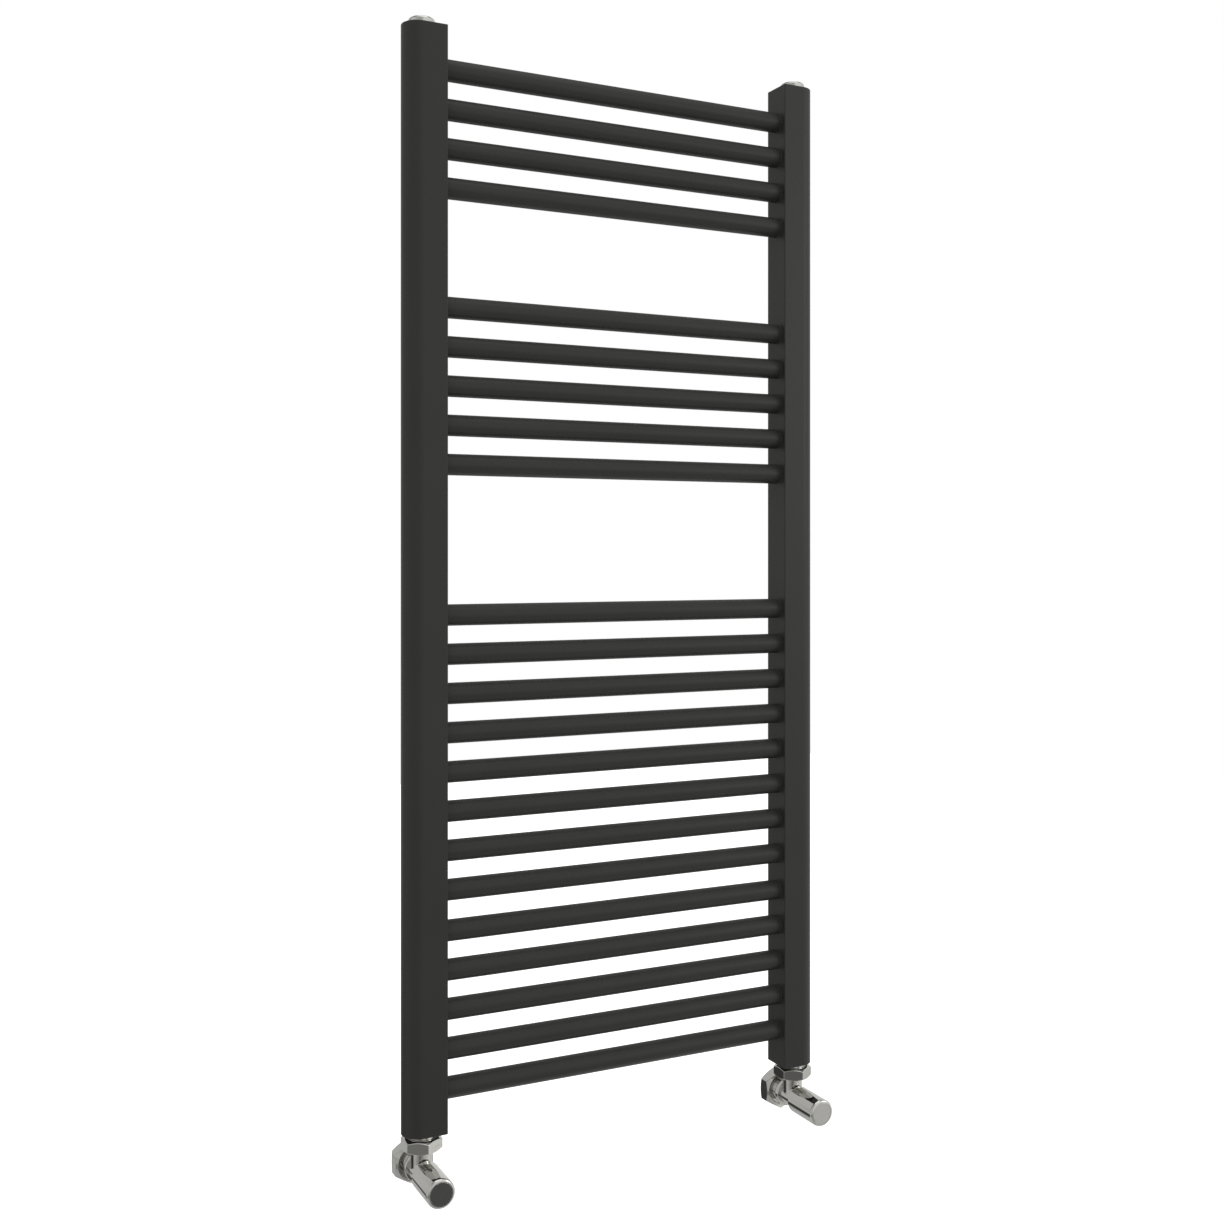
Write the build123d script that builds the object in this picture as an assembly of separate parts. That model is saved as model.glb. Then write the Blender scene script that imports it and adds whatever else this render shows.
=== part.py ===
from build123d import *
import math
import os

# A ladder towel radiator with two angled hand valves.
# X runs along the rails, Y points at the wall, Z is up.  The origin is the centre of the wall fixings:
# half-way between the uprights, on the plane of the rails' axes, at half the uprights' height.
# All lengths are in millimetres.

# ---------------------------------------------------------------- radiator: driving dimensions
UPRIGHT_HEIGHT = 1117.0
UPRIGHT_GAP = 403.0           # clear distance between the uprights' flat sides
UPRIGHT_WIDTH = 43.0          # flat side to the crown of the round side
UPRIGHT_DEPTH = 36.0          # front to back, twice the radius of the round side
UPRIGHT_WALL = 1.5
UPRIGHT_CORNER = 1.0          # outside radius of the two corners of the flat side
TAPPING_SPACING = 447.0       # between the valve axes, and between the plug axes

RAIL_DIAMETER = 22.0
RAIL_WALL = 1.2
RAIL_PITCH = 40.0
RAIL_GROUPS = (4, 5, 8, 5)    # rails in each group, from the top
GROUP_PITCHES = (121.5, 153.5, 41.5)  # last rail of a group to the first of the next
RAIL_INSERTION = 2.5          # how far a rail's end stands in the upright, past the flat side
BRAZE_GAP = 0.03              # radial gap between a rail and its hole

END_PLATE_THICKNESS = 4.0
END_PLATE_GAP = 0.05
TAPPING_BOSS_DIAMETER = 28.0
TAPPING_DEPTH = 14.0
TAPPING_DIAMETER = 20.9       # G 1/2 thread, drawn as a plain bore
THREAD_GAP = 0.05             # radial gap between a plain male and female thread

# ---------------------------------------------------------------- plugs and seals in the tappings
PLUG_HEAD_DIAMETER = 27.0
PLUG_HEAD_HEIGHT = 7.4
PLUG_EDGE_RADIUS = 2.6
PLUG_SHANK_LENGTH = 10.0
PLUG_KEY_ACROSS_FLATS = 10.0
PLUG_KEY_DEPTH = 5.0
SEAL_INNER_DIAMETER = 21.0
SEAL_OUTER_DIAMETER = 25.2
SEAL_THICKNESS = 1.2
SEAL_GROOVE_GAP = 0.1

VENT_CHAMBER_DIAMETER = 8.0
VENT_CHAMBER_FLOOR = -1.0     # height of the vent seat over the upright's end
VENT_PORT_DIAMETER = 3.0
VENT_OUTLET_DIAMETER = 1.8
VENT_OUTLET_HEIGHT = 1.4
VENT_SEAL_DIAMETER = 6.0
VENT_SEAL_THICKNESS = 1.5
VENT_STEM_DIAMETER = 2.4
VENT_STEM_LENGTH = 2.0
VENT_SCREW_TOP = 6.4
VENT_SLOT_WIDTH = 1.2
VENT_SLOT_DEPTH = 1.8
VENT_RUNNING_GAP = 0.05

# ---------------------------------------------------------------- valve: driving dimensions
# Heights are over the upright's lower end, depths are along Y from the upright's axis.
VALVE_AXIS_DROP = 39.5        # horizontal axis of the valve under the upright's end

COLLAR_DIAMETER = 30.0
COLLAR_HEIGHT = 3.4
COLLAR_EDGE_RADIUS = 0.6

UNION_ACROSS_FLATS = 37.4
UNION_HEIGHT = 13.6
UNION_LIP = 2.6
UNION_LIP_BORE = 21.0
UNION_THREAD_DIAMETER = 29.0

TAIL_NECK_DIAMETER = 20.4
TAIL_FLANGE_DIAMETER = 27.0
TAIL_FLANGE_HEIGHT = 2.0
TAIL_CONE_LENGTH = 1.6
TAIL_CONE_RADIUS = 9.3
TAIL_BORE = 12.4
TAIL_KEY_ACROSS_FLATS = 13.0

BODY_NECK_DIAMETER = 22.0
BODY_NECK_BORE = 14.0
BODY_BARREL_DIAMETER = 23.4
BODY_BARREL_FRONT = -11.5
BODY_BOSS_DIAMETER = 29.2
BODY_BOSS_FRONT = 8.5
BODY_BOSS_BACK = 14.0
BODY_THREAD_DIAMETER = 24.0
BODY_BACK = 32.0
BODY_EDGE_RADIUS = 0.8

PIPE_SOCKET_RADIUS = 7.6      # takes a 15 mm pipe
PIPE_STOP = 17.0
PIPE_MOUTH_DEPTH = 2.6
PIPE_MOUTH_RADIUS = 9.1
SEAT_PORT_DIAMETER = 11.0
SEAT_FACE = 9.0
CHAMBER_BACK = 10.5
SEAT_RING_DIAMETER = 13.6
CHAMBER_DIAMETER = 16.0
BONNET_THREAD_DIAMETER = 18.0
BONNET_THREAD_BACK = -4.0

NUT_ACROSS_FLATS = 40.0
NUT_FRONT = 21.0
NUT_BACK = 37.5
NUT_MOUTH_RADIUS = 15.6
NUT_MOUTH_DEPTH = 1.4
NUT_MOUTH_CHAMFER = 1.2
NUT_LIP_RADIUS = 7.8
NUT_CONE_FRONT = 33.45
NUT_CONE_BACK = 35.45
NUT_CHAMFER_ANGLE = 30.0
NUT_WASHER_FACE = 0.92        # washer face radius over the radius of the inscribed circle

OLIVE_FRONT = 29.9
OLIVE_BACK = 35.3
OLIVE_INNER_RADIUS = 7.65
OLIVE_TIP_RADIUS = 7.85
OLIVE_CROWN_RADIUS = 9.05

BONNET_FLANGE_DIAMETER = 21.8
BONNET_FLANGE_FRONT = -12.7
BONNET_HEX_ACROSS_FLATS = 17.0
BONNET_HEX_FRONT = -19.0
BONNET_SLEEVE_DIAMETER = 14.0
BONNET_FRONT = -36.0
BONNET_SEAL_INNER = 18.4
BONNET_SEAL_OUTER = 20.6
BONNET_SEAL_THICKNESS = 0.7

SPINDLE_THREAD_DIAMETER = 9.0
SPINDLE_THREAD_BACK = 3.5
SPINDLE_THREAD_FRONT = -17.0
SPINDLE_THREAD_ROOM = -22.0   # end of the wide part of the bonnet's bore
SPINDLE_DIAMETER = 7.0
SPINDLE_SHAFT_FRONT = -38.0
SPINDLE_SQUARE = 5.0
SPINDLE_SQUARE_FRONT = -45.0
SPINDLE_TIP_DIAMETER = 6.0
SPINDLE_TIP_BACK = 5.5
SPINDLE_GAP = 0.05
SPINDLE_GROOVE_BACK = -27.0
SPINDLE_GROOVE_FRONT = -28.8
SPINDLE_GROOVE_DIAMETER = 4.6

CLACK_DIAMETER = 14.6
CLACK_BACK = 6.6
CLACK_FRONT = 1.2
CLACK_HUB_DIAMETER = 9.6
CLACK_PLATE = 2.4
WASHER_DIAMETER = 14.2

HANDLE_DIAMETER = 29.8
HANDLE_BACK = -13.0
HANDLE_FRONT = -59.2
HANDLE_RIM_RADIUS = 2.8
HANDLE_SKIRT_BORE = 25.8
HANDLE_WEB_BACK = -40.5
HANDLE_WEB_FRONT = -49.0
HANDLE_POCKET_DIAMETER = 20.0
HANDLE_CAP_DIAMETER = 23.6
HANDLE_CAP_THICKNESS = 1.8
HANDLE_CAP_GAP = 0.1
HANDLE_SCREW_DIAMETER = 3.2
HANDLE_SCREW_HEAD = 6.5
HANDLE_SCREW_HEAD_HEIGHT = 2.6
HANDLE_SCREW_KEY = 3.0
HANDLE_SCREW_KEY_DEPTH = 1.5
HANDLE_SCREW_LENGTH = 13.0

# ---------------------------------------------------------------- places worked out from these
TOP = UPRIGHT_HEIGHT / 2
BOTTOM = -UPRIGHT_HEIGHT / 2
FLAT_X = UPRIGHT_GAP / 2
TAPPING_X = TAPPING_SPACING / 2
VALVE_AXIS = BOTTOM - VALVE_AXIS_DROP
SIDES = {"left": -1, "right": 1}
CUT = 0.5                     # how far a cutting tool runs past the face it opens

os.makedirs("parts", exist_ok=True)


def save(name, shape):
    """Writes one sub-part as parts/NAME.step."""
    shape.label = name
    export_step(shape, f"parts/{name}.step")


def rod(diameter, low, high):
    """A solid cylinder on Z, from height low to height high."""
    return Pos(0, 0, (low + high) / 2) * Cylinder(diameter / 2, high - low)


def turned(points):
    """A solid turned about Z from a closed half profile of (radius, height) points."""
    profile = make_face(Polyline(*[(r, 0, z) for r, z in points], close=True))
    return revolve(profile, Axis.Z)


def hexagon_bar(across_flats, low, high, turn=0):
    """A hexagonal prism on Z with its corners at turn degrees from X."""
    outline = RegularPolygon(across_flats / math.sqrt(3), 6, rotation=turn)
    return Pos(0, 0, low) * extrude(outline, high - low)


def square_bar(side, low, high):
    """A square prism on Z."""
    return Pos(0, 0, (low + high) / 2) * Box(side, side, high - low)


def nut_blank(across_flats, low, high, turn=0):
    """A hexagonal prism with both ends chamfered round, as a turned nut has."""
    corner = across_flats / math.sqrt(3)
    face = NUT_WASHER_FACE * across_flats / 2
    slope = (corner - face) * math.tan(math.radians(NUT_CHAMFER_ANGLE))
    envelope = [
        (0, low),
        (face, low),
        (corner, low + slope),
        (corner, high - slope),
        (face, high),
        (0, high),
    ]
    return hexagon_bar(across_flats, low, high, turn) & turned(envelope)


def along_y(shape):
    """Turns a shape made on Z so that its heights become depths along Y."""
    return Rot(-90, 0, 0) * shape


def on_valve(side, shape):
    """Moves a shape made on the valve's horizontal axis to the valve of that side."""
    return Pos(SIDES[side] * TAPPING_X, 0, VALVE_AXIS) * shape


def under_upright(side, shape):
    """Moves a shape made about the upright's lower end to that side."""
    return Pos(SIDES[side] * TAPPING_X, 0, BOTTOM) * shape


def on_upright(side, shape):
    """Moves a shape made about the upright's upper end to that side."""
    return Pos(SIDES[side] * TAPPING_X, 0, TOP) * shape


# ---------------------------------------------------------------- uprights, rails and end plates
def rail_heights():
    """Heights of the rails' axes, from the top rail down."""
    span = sum((count - 1) * RAIL_PITCH for count in RAIL_GROUPS) + sum(GROUP_PITCHES)
    height = span / 2
    heights = []
    for group, count in enumerate(RAIL_GROUPS):
        for index in range(count):
            heights.append(height)
            if index < count - 1:
                height -= RAIL_PITCH
        if group < len(GROUP_PITCHES):
            height -= GROUP_PITCHES[group]
    return heights


def d_outline(inset, corner):
    """The D-section, moved in by inset all round, with its flat side facing the rails at X = FLAT_X."""
    radius = UPRIGHT_DEPTH / 2 - inset
    flat = FLAT_X + inset
    centre = FLAT_X + UPRIGHT_WIDTH - UPRIGHT_DEPTH / 2
    outline = make_face(
        [
            Line((centre, -radius), (flat, -radius)),
            Line((flat, -radius), (flat, radius)),
            Line((flat, radius), (centre, radius)),
            ThreePointArc((centre, radius), (centre + radius, 0), (centre, -radius)),
        ]
    )
    if corner > 0:
        corners = outline.vertices().filter_by(lambda v: abs(v.X - flat) < 0.01)
        outline = fillet(corners, corner)
    return outline


def right_upright():
    """D-section tube with a hole for each rail in its flat side."""
    outer = extrude(d_outline(0, UPRIGHT_CORNER), UPRIGHT_HEIGHT)
    inner = extrude(d_outline(UPRIGHT_WALL, 0), UPRIGHT_HEIGHT)
    tube = Pos(0, 0, BOTTOM) * (outer - inner)
    hole_length = 2 * UPRIGHT_WALL + 2 * CUT
    hole = Rot(0, 90, 0) * Cylinder(RAIL_DIAMETER / 2 + BRAZE_GAP, hole_length)
    holes = [Pos(FLAT_X, 0, height) * hole for height in rail_heights()]
    return tube - holes


def rail(height):
    """Round tube whose ends stand in the two uprights."""
    length = UPRIGHT_GAP + 2 * RAIL_INSERTION
    tube = Cylinder(RAIL_DIAMETER / 2, length) - Cylinder(RAIL_DIAMETER / 2 - RAIL_WALL, length)
    return Pos(0, 0, height) * Rot(0, 90, 0) * tube


def lower_right_end_plate():
    """Plate that closes an upright, flush with its end, with a threaded boss inside."""
    plate = extrude(d_outline(UPRIGHT_WALL + END_PLATE_GAP, 0), END_PLATE_THICKNESS)
    boss = Pos(TAPPING_X, 0, 0) * rod(TAPPING_BOSS_DIAMETER, 0, TAPPING_DEPTH)
    bore = Pos(TAPPING_X, 0, 0) * rod(TAPPING_DIAMETER, -CUT, TAPPING_DEPTH + CUT)
    return Pos(0, 0, BOTTOM) * (plate + boss - bore)


upright = right_upright()
save("right_upright", upright)
save("left_upright", mirror(upright, Plane.YZ))

for number, axis_height in enumerate(rail_heights(), start=1):
    save(f"rail_{number:02d}", rail(axis_height))

end_plate = lower_right_end_plate()
lower_plates = [end_plate, mirror(end_plate, Plane.YZ)]
upper_plates = [mirror(plate, Plane.XY) for plate in lower_plates]
save("end_plates", Compound(children=lower_plates + upper_plates))


# ---------------------------------------------------------------- plugs and seals in the tappings
def seal_ring():
    """Rubber ring that lies on the upright's end, round the thread."""
    ring = rod(SEAL_OUTER_DIAMETER, 0, SEAL_THICKNESS) - rod(SEAL_INNER_DIAMETER, 0, SEAL_THICKNESS)
    return fillet(ring.edges(), SEAL_THICKNESS / 3)


def seal_groove():
    """Room for the seal ring in the face that presses on the upright's end."""
    outer = rod(SEAL_OUTER_DIAMETER + 2 * SEAL_GROOVE_GAP, -CUT, SEAL_THICKNESS)
    return outer - rod(TAPPING_DIAMETER - 2 * THREAD_GAP, -CUT, SEAL_THICKNESS)


def plug_blank():
    """Round head with a rounded upper edge, on a threaded shank."""
    head = rod(PLUG_HEAD_DIAMETER, 0, PLUG_HEAD_HEIGHT)
    head = fillet(head.edges().group_by(Axis.Z)[-1], PLUG_EDGE_RADIUS)
    shank = rod(TAPPING_DIAMETER - 2 * THREAD_GAP, -PLUG_SHANK_LENGTH, SEAL_THICKNESS)
    shank = chamfer(shank.edges().group_by(Axis.Z)[0], 0.8)
    return head - seal_groove() + shank


def blanking_plug():
    """Closed plug with a hexagonal key recess."""
    key = hexagon_bar(PLUG_KEY_ACROSS_FLATS, PLUG_HEAD_HEIGHT - PLUG_KEY_DEPTH, PLUG_HEAD_HEIGHT + CUT)
    return plug_blank() - key


def air_vent_plug():
    """Plug with a chamber for the bleed screw, a seat at its floor and an outlet towards the wall."""
    chamber = rod(VENT_CHAMBER_DIAMETER, VENT_CHAMBER_FLOOR, PLUG_HEAD_HEIGHT + CUT)
    port = rod(VENT_PORT_DIAMETER, -PLUG_SHANK_LENGTH - CUT, VENT_CHAMBER_FLOOR + CUT)
    outlet = along_y(rod(VENT_OUTLET_DIAMETER, 0, PLUG_HEAD_DIAMETER / 2 + CUT))
    return plug_blank() - chamber - port - Pos(0, 0, VENT_OUTLET_HEIGHT) * outlet


def vent_seal():
    """Rubber disc that closes the vent's port, with a stem that turns in the bleed screw."""
    top = VENT_CHAMBER_FLOOR + VENT_SEAL_THICKNESS
    disc = rod(VENT_SEAL_DIAMETER, VENT_CHAMBER_FLOOR, top)
    return disc + rod(VENT_STEM_DIAMETER, top, top + VENT_STEM_LENGTH)


def vent_screw():
    """Slotted bleed screw on top of the vent seal."""
    bottom = VENT_CHAMBER_FLOOR + VENT_SEAL_THICKNESS
    screw = rod(VENT_CHAMBER_DIAMETER - 2 * VENT_RUNNING_GAP, bottom, VENT_SCREW_TOP)
    screw = chamfer(screw.edges().group_by(Axis.Z)[-1], 0.5)
    socket_top = bottom + VENT_STEM_LENGTH + VENT_RUNNING_GAP
    socket = rod(VENT_STEM_DIAMETER + 2 * VENT_RUNNING_GAP, bottom - CUT, socket_top)
    slot = Pos(0, 0, VENT_SCREW_TOP) * Box(VENT_CHAMBER_DIAMETER, VENT_SLOT_WIDTH, 2 * VENT_SLOT_DEPTH)
    return screw - socket - slot


save("air_vent_plug", on_upright("left", air_vent_plug()))
save("vent_seal", on_upright("left", vent_seal()))
save("vent_screw", on_upright("left", vent_screw()))
save("blanking_plug", on_upright("right", blanking_plug()))

upper_seals = [on_upright(side, seal_ring()) for side in SIDES]
lower_seals = [mirror(ring, Plane.XY) for ring in upper_seals]
save("tapping_seals", Compound(children=upper_seals + lower_seals))


# ---------------------------------------------------------------- valve: collar, tail piece and union nut
TAIL_NECK_END = -COLLAR_HEIGHT - UNION_LIP
TAIL_FLANGE_END = TAIL_NECK_END - TAIL_FLANGE_HEIGHT
TAIL_END = TAIL_FLANGE_END - TAIL_CONE_LENGTH
UNION_END = -COLLAR_HEIGHT - UNION_HEIGHT


def tail_collar():
    """Round ring between the upright's end and the union nut."""
    ring = rod(COLLAR_DIAMETER, -COLLAR_HEIGHT, 0)
    ring = fillet(ring.edges(), COLLAR_EDGE_RADIUS)
    bore = rod(TAPPING_DIAMETER, -COLLAR_HEIGHT - CUT, CUT)
    return ring - bore - mirror(seal_groove(), Plane.XY)


def tailpiece():
    """Threaded tube that hangs the valve on the upright: thread, neck, flange and sealing cone."""
    cone_slope = 0.5
    thread_radius = TAPPING_DIAMETER / 2 - THREAD_GAP
    outline = [
        (0, PLUG_SHANK_LENGTH),
        (thread_radius, PLUG_SHANK_LENGTH),
        (thread_radius, -COLLAR_HEIGHT),
        (TAIL_NECK_DIAMETER / 2, -COLLAR_HEIGHT),
        (TAIL_NECK_DIAMETER / 2, TAIL_NECK_END),
        (TAIL_FLANGE_DIAMETER / 2, TAIL_NECK_END),
        (TAIL_FLANGE_DIAMETER / 2, TAIL_FLANGE_END),
        (TAIL_CONE_RADIUS, TAIL_FLANGE_END),
        (TAIL_CONE_RADIUS - cone_slope * TAIL_CONE_LENGTH, TAIL_END),
        (0, TAIL_END),
    ]
    bore = rod(TAIL_BORE, TAIL_END - CUT, PLUG_SHANK_LENGTH + CUT)
    key = hexagon_bar(TAIL_KEY_ACROSS_FLATS, 0, PLUG_SHANK_LENGTH + CUT)
    return turned(outline) - bore - key


def union_nut():
    """Hexagonal nut that pulls the tail piece's cone into the valve body."""
    blank = nut_blank(UNION_ACROSS_FLATS, UNION_END, -COLLAR_HEIGHT, turn=30)
    lip = rod(UNION_LIP_BORE, UNION_END - CUT, -COLLAR_HEIGHT + CUT)
    thread = rod(UNION_THREAD_DIAMETER, UNION_END - CUT, TAIL_NECK_END)
    return blank - lip - thread


# ---------------------------------------------------------------- valve: body
def body_outside():
    """Vertical branch with the union thread, and horizontal barrel, boss and compression thread."""
    union_top = TAIL_FLANGE_END + VALVE_AXIS_DROP
    union_bottom = UNION_END + VALVE_AXIS_DROP
    neck = rod(BODY_NECK_DIAMETER, 0, union_top)
    union_thread = rod(UNION_THREAD_DIAMETER - 2 * THREAD_GAP, union_bottom - 0.4, union_top)
    union_thread = chamfer(union_thread.edges(), 0.4)
    barrel = along_y(rod(BODY_BARREL_DIAMETER, BODY_BARREL_FRONT, BODY_BOSS_FRONT + CUT))
    boss = rod(BODY_BOSS_DIAMETER, BODY_BOSS_FRONT, BODY_BOSS_BACK)
    boss = along_y(fillet(boss.edges(), BODY_EDGE_RADIUS))
    thread = rod(BODY_THREAD_DIAMETER - 2 * THREAD_GAP, BODY_BOSS_BACK - CUT, BODY_BACK)
    thread = along_y(chamfer(thread.edges().group_by(Axis.Z)[-1], 0.6))
    return neck + union_thread + barrel + boss + thread


def body_inside():
    """Waterway: pipe socket, port, chamber and the branch up to the tail piece."""
    mouth_front = BODY_BACK - PIPE_MOUTH_DEPTH
    seat_radius = SEAT_RING_DIAMETER / 2
    chamber_radius = CHAMBER_DIAMETER / 2
    port_radius = SEAT_PORT_DIAMETER / 2
    thread_radius = BONNET_THREAD_DIAMETER / 2
    waterway = [
        (0, BODY_BACK + CUT),
        (PIPE_MOUTH_RADIUS, BODY_BACK + CUT),
        (PIPE_MOUTH_RADIUS, BODY_BACK),
        (PIPE_SOCKET_RADIUS, mouth_front),
        (PIPE_SOCKET_RADIUS, PIPE_STOP),
        (port_radius, PIPE_STOP),
        (port_radius, SEAT_FACE),
        (seat_radius, SEAT_FACE),
        (seat_radius, CHAMBER_BACK),
        (chamber_radius, CHAMBER_BACK),
        (chamber_radius, BONNET_THREAD_BACK),
        (thread_radius, BONNET_THREAD_BACK),
        (thread_radius, BODY_BARREL_FRONT - CUT),
        (0, BODY_BARREL_FRONT - CUT),
    ]
    cone_top = TAIL_FLANGE_END + VALVE_AXIS_DROP
    branch = [
        (0, cone_top + CUT),
        (TAIL_CONE_RADIUS + THREAD_GAP, cone_top + CUT),
        (TAIL_CONE_RADIUS + THREAD_GAP, cone_top),
        (TAIL_CONE_RADIUS + THREAD_GAP - TAIL_CONE_LENGTH / 2, cone_top - TAIL_CONE_LENGTH),
        (BODY_NECK_BORE / 2, cone_top - TAIL_CONE_LENGTH - THREAD_GAP),
        (BODY_NECK_BORE / 2, 0),
        (0, 0),
    ]
    return along_y(turned(waterway)) + turned(branch)


def valve_body():
    """Forged angle body, with the seat between the pipe socket and the chamber."""
    return body_outside() - body_inside()


# ---------------------------------------------------------------- valve: compression joint
def compression_nut():
    """Nut with an open mouth that presses the olive onto the pipe, with its corners up and down."""
    blank = nut_blank(NUT_ACROSS_FLATS, NUT_FRONT, NUT_BACK, turn=30)
    mouth_end = NUT_FRONT + NUT_MOUTH_DEPTH
    inside = [
        (0, NUT_FRONT - CUT),
        (NUT_MOUTH_RADIUS + NUT_MOUTH_CHAMFER, NUT_FRONT - CUT),
        (NUT_MOUTH_RADIUS + NUT_MOUTH_CHAMFER, NUT_FRONT),
        (NUT_MOUTH_RADIUS, NUT_FRONT + NUT_MOUTH_CHAMFER),
        (NUT_MOUTH_RADIUS, mouth_end),
        (BODY_THREAD_DIAMETER / 2, mouth_end),
        (BODY_THREAD_DIAMETER / 2, NUT_CONE_FRONT),
        (OLIVE_CROWN_RADIUS + THREAD_GAP, NUT_CONE_FRONT),
        (NUT_LIP_RADIUS, NUT_CONE_BACK),
        (NUT_LIP_RADIUS, NUT_BACK + CUT),
        (0, NUT_BACK + CUT),
    ]
    return along_y(blank - turned(inside))


def olive():
    """Brass ring with two cones, between the body's mouth and the nut."""
    ring = [
        (OLIVE_INNER_RADIUS, OLIVE_FRONT),
        (OLIVE_TIP_RADIUS, OLIVE_FRONT),
        (OLIVE_CROWN_RADIUS, BODY_BACK),
        (OLIVE_CROWN_RADIUS, NUT_CONE_FRONT),
        (OLIVE_TIP_RADIUS, OLIVE_BACK),
        (OLIVE_INNER_RADIUS, OLIVE_BACK),
    ]
    return along_y(turned(ring))


# ---------------------------------------------------------------- valve: bonnet, spindle and clack
def bonnet():
    """Sleeve screwed into the body's front, which guides the spindle."""
    hexagon = nut_blank(BONNET_HEX_ACROSS_FLATS, BONNET_HEX_FRONT, BONNET_FLANGE_FRONT + CUT)
    thread = rod(BONNET_THREAD_DIAMETER - 2 * THREAD_GAP, BODY_BARREL_FRONT, BONNET_THREAD_BACK)
    flange = rod(BONNET_FLANGE_DIAMETER, BONNET_FLANGE_FRONT, BODY_BARREL_FRONT)
    sleeve = rod(BONNET_SLEEVE_DIAMETER, BONNET_FRONT, BONNET_HEX_FRONT)
    sleeve = chamfer(sleeve.edges().group_by(Axis.Z)[0], 0.8)
    wide = rod(SPINDLE_THREAD_DIAMETER + 2 * SPINDLE_GAP, SPINDLE_THREAD_ROOM, BONNET_THREAD_BACK + CUT)
    narrow = rod(SPINDLE_DIAMETER + 2 * SPINDLE_GAP, BONNET_FRONT - CUT, SPINDLE_THREAD_ROOM + CUT)
    groove = bonnet_seal_room(SPINDLE_GAP)
    return along_y(thread + flange + hexagon + sleeve - wide - narrow - groove)


def bonnet_seal_room(gap):
    """The bonnet's sealing ring on Z, larger by gap all round."""
    front = BODY_BARREL_FRONT - BONNET_SEAL_THICKNESS - gap
    outer = rod(BONNET_SEAL_OUTER + 2 * gap, front, BODY_BARREL_FRONT)
    return outer - rod(BONNET_SEAL_INNER - 2 * gap, front, BODY_BARREL_FRONT)


def spindle():
    """Shaft that turns in the bonnet: tip for the clack, thread, sealed shaft and square for the handle."""
    shaft = rod(SPINDLE_DIAMETER, SPINDLE_SHAFT_FRONT, SPINDLE_THREAD_FRONT)
    ring_room = rod(SPINDLE_DIAMETER + CUT, SPINDLE_GROOVE_FRONT, SPINDLE_GROOVE_BACK)
    ring_room -= rod(SPINDLE_GROOVE_DIAMETER, SPINDLE_GROOVE_FRONT, SPINDLE_GROOVE_BACK)
    thread = rod(SPINDLE_THREAD_DIAMETER, SPINDLE_THREAD_FRONT, SPINDLE_THREAD_BACK)
    thread = chamfer(thread.edges(), 0.5)
    tip = rod(SPINDLE_TIP_DIAMETER, SPINDLE_THREAD_BACK, SPINDLE_TIP_BACK)
    square = square_bar(SPINDLE_SQUARE, SPINDLE_SQUARE_FRONT, SPINDLE_SHAFT_FRONT)
    tapping_end = HANDLE_WEB_FRONT + HANDLE_SCREW_LENGTH + CUT
    tapping = rod(HANDLE_SCREW_DIAMETER, SPINDLE_SQUARE_FRONT - CUT, tapping_end)
    return along_y(shaft - ring_room + thread + tip + square - tapping)


def spindle_seal():
    """Rubber ring in the spindle's groove."""
    outer = rod(SPINDLE_DIAMETER, SPINDLE_GROOVE_FRONT, SPINDLE_GROOVE_BACK)
    inner = rod(SPINDLE_GROOVE_DIAMETER + 2 * SPINDLE_GAP, SPINDLE_GROOVE_FRONT, SPINDLE_GROOVE_BACK)
    return along_y(fillet((outer - inner).edges(), 0.5))


def clack():
    """Valve plate with a hub that holds the spindle's tip."""
    plate = rod(CLACK_DIAMETER, CLACK_BACK - CLACK_PLATE, CLACK_BACK)
    hub = rod(CLACK_HUB_DIAMETER, CLACK_FRONT, CLACK_BACK)
    tip_room_end = SPINDLE_TIP_BACK + SPINDLE_GAP
    tip_room = rod(SPINDLE_TIP_DIAMETER + 2 * SPINDLE_GAP, SPINDLE_THREAD_BACK - CUT, tip_room_end)
    thread_room = rod(SPINDLE_THREAD_DIAMETER + 2 * SPINDLE_GAP, CLACK_FRONT - CUT, SPINDLE_THREAD_BACK)
    return along_y(plate + hub - tip_room - thread_room)


def clack_washer():
    """Rubber washer on the clack that closes the seat."""
    return along_y(rod(WASHER_DIAMETER, CLACK_BACK, SEAT_FACE))


# ---------------------------------------------------------------- valve: handle
def handwheel():
    """Cylindrical handle: skirt over the bonnet, web on the spindle's square, recess for the end disc."""
    solid = rod(HANDLE_DIAMETER, HANDLE_FRONT, HANDLE_BACK)
    solid = fillet(solid.edges().group_by(Axis.Z)[0], HANDLE_RIM_RADIUS - HANDLE_CAP_GAP)
    solid = fillet(solid.edges().group_by(Axis.Z)[-1], 0.5)
    skirt = rod(HANDLE_SKIRT_BORE, HANDLE_WEB_BACK, HANDLE_BACK + CUT)
    pocket = rod(HANDLE_POCKET_DIAMETER, HANDLE_FRONT - CUT, HANDLE_WEB_FRONT)
    recess = rod(HANDLE_CAP_DIAMETER, HANDLE_FRONT - CUT, HANDLE_FRONT + HANDLE_CAP_THICKNESS)
    square = square_bar(SPINDLE_SQUARE + 2 * SPINDLE_GAP, SPINDLE_SQUARE_FRONT, HANDLE_WEB_BACK + CUT)
    screw_hole_diameter = HANDLE_SCREW_DIAMETER + 2 * SPINDLE_GAP
    screw_hole = rod(screw_hole_diameter, HANDLE_WEB_FRONT - CUT, SPINDLE_SQUARE_FRONT + CUT)
    return along_y(solid - skirt - pocket - recess - square - screw_hole)


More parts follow.
